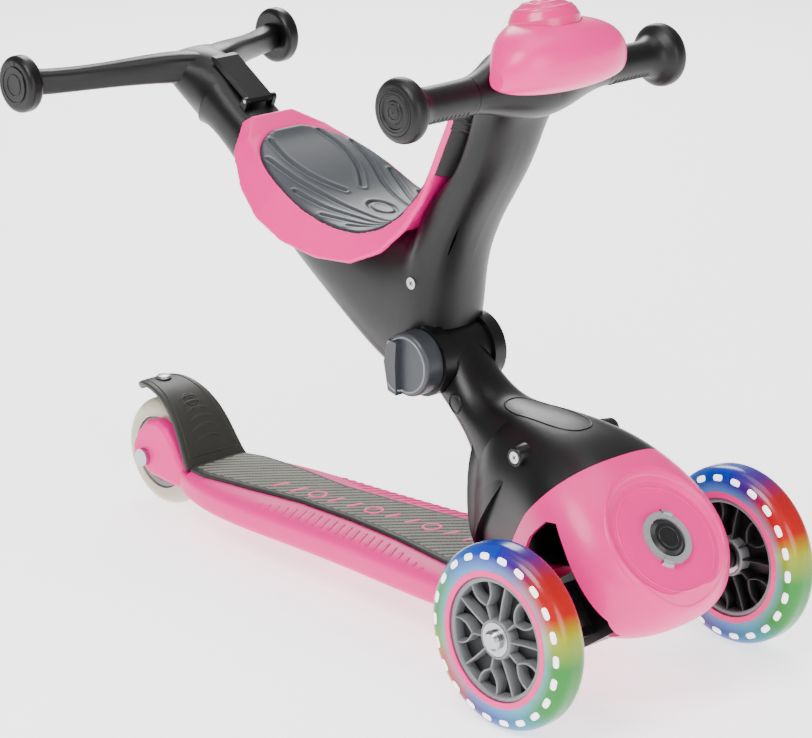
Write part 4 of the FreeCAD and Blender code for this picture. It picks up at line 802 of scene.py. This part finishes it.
def screw_recess_shade():
    """Crossed recesses in the heads of the screws, drawn as dark crosses laid just over the steel: painted shade.
    """
    for node, (body, pairs) in SCREW_PAIRS.items():
        tree = cast_tree(node)
        cross = Sculpt()
        for x, y, z in pairs:
            for sign in (-1, 1):
                middle = Vector((x, sign * y, z))
                inward = SIDEWAYS * -sign
                for way in (UP + FORWARD, UP - FORWARD):
                    arm = way.normalized() * CROSS_ARM
                    ridge(cross, tree, line(middle - arm, middle + arm, 8), inward, 0.5, 0.1, taper=False)
        cross.build(f"{node}_recesses", [RECESS_SHADE], body, "steel")


# ------------------------------------------------------------------ dress the frame
for name, material in NODE_FINISH.items():
    data = NODES[name].data
    if data.materials:
        for index in range(len(data.materials)):
            data.materials[index] = material
    else:
        data.materials.append(material)

for side, sign in (("left", 1), ("right", -1)):
    front_core(side, sign)
    lamp_windows(side, sign)
    smooth_grip(side, sign)
    grip_relief(side, sign)
rear_core()
deck_mat()
deck_relief()
deck_marks()
brake_relief()
seat_cushion()
saddle_rim()
t_bar_relief()
knob_relief()
nose_relief()
neck_relief()
dome_relief()
screw_recess_shade()


# ------------------------------------------------------------------ stage, light and camera
def floor():
    """A wide white floor, just below the wheels."""
    mesh = bpy.data.meshes.new("studio_floor")
    size, drop = 60.0, -0.0006
    mesh.from_pydata([(-size, -size, drop), (size, -size, drop), (size, size, drop), (-size, size, drop)],
                     [], [(0, 1, 2, 3)])
    white = Finish("studio_floor_white", "FAFAFA", 0.8, 0.02, 60.0, vary=0.004)
    mesh.materials.append(white.glow("FFFFFF", 1.7).material)
    plane = bpy.data.objects.new("studio_floor", mesh)
    bpy.context.scene.collection.objects.link(plane)


def area(name, place, target, size, power):
    """A round soft lamp at a place in metres, aimed at target."""
    lamp = bpy.data.lights.new(name, "AREA")
    lamp.shape = "DISK"
    lamp.size = size
    lamp.energy = power
    obj = bpy.data.objects.new(name, lamp)
    obj.location = place
    obj.rotation_euler = (Vector(target) - Vector(place)).to_track_quat("-Z", "Y").to_euler()
    bpy.context.scene.collection.objects.link(obj)


floor()
middle = (0.0, 0.0, 0.18)
area("key", (0.2, -1.3, 1.7), middle, 1.1, 44.0)
area("front_fill", (1.9, -0.5, 0.8), middle, 1.2, 20.0)
area("back_rim", (-1.4, 1.2, 1.3), middle, 1.0, 26.0)
area("top", (0.0, 0.2, 2.2), middle, 1.6, 20.0)

world = bpy.data.worlds.new("studio")
bpy.context.scene.world = world
world.use_nodes = True
world.node_tree.nodes["Background"].inputs["Color"].default_value = (1.0, 1.0, 1.0, 1.0)
world.node_tree.nodes["Background"].inputs["Strength"].default_value = 0.42

# The view: its angles, the point it looks at, its distance in metres and its lens.
azimuth, elevation = math.radians(47.45), math.radians(17.89)
back = Vector((math.sin(azimuth) * math.cos(elevation), -math.cos(azimuth) * math.cos(elevation),
               math.sin(elevation)))
camera_data = bpy.data.cameras.new("camera")
camera_data.lens = 156.03
camera_data.sensor_width = 36.0
camera = bpy.data.objects.new("camera", camera_data)
camera.location = Vector((0.01219, 0.0, 0.16164)) + back * 2.36945
camera.rotation_euler = (-back).to_track_quat("-Z", "Y").to_euler()
bpy.context.scene.collection.objects.link(camera)
bpy.context.scene.camera = camera
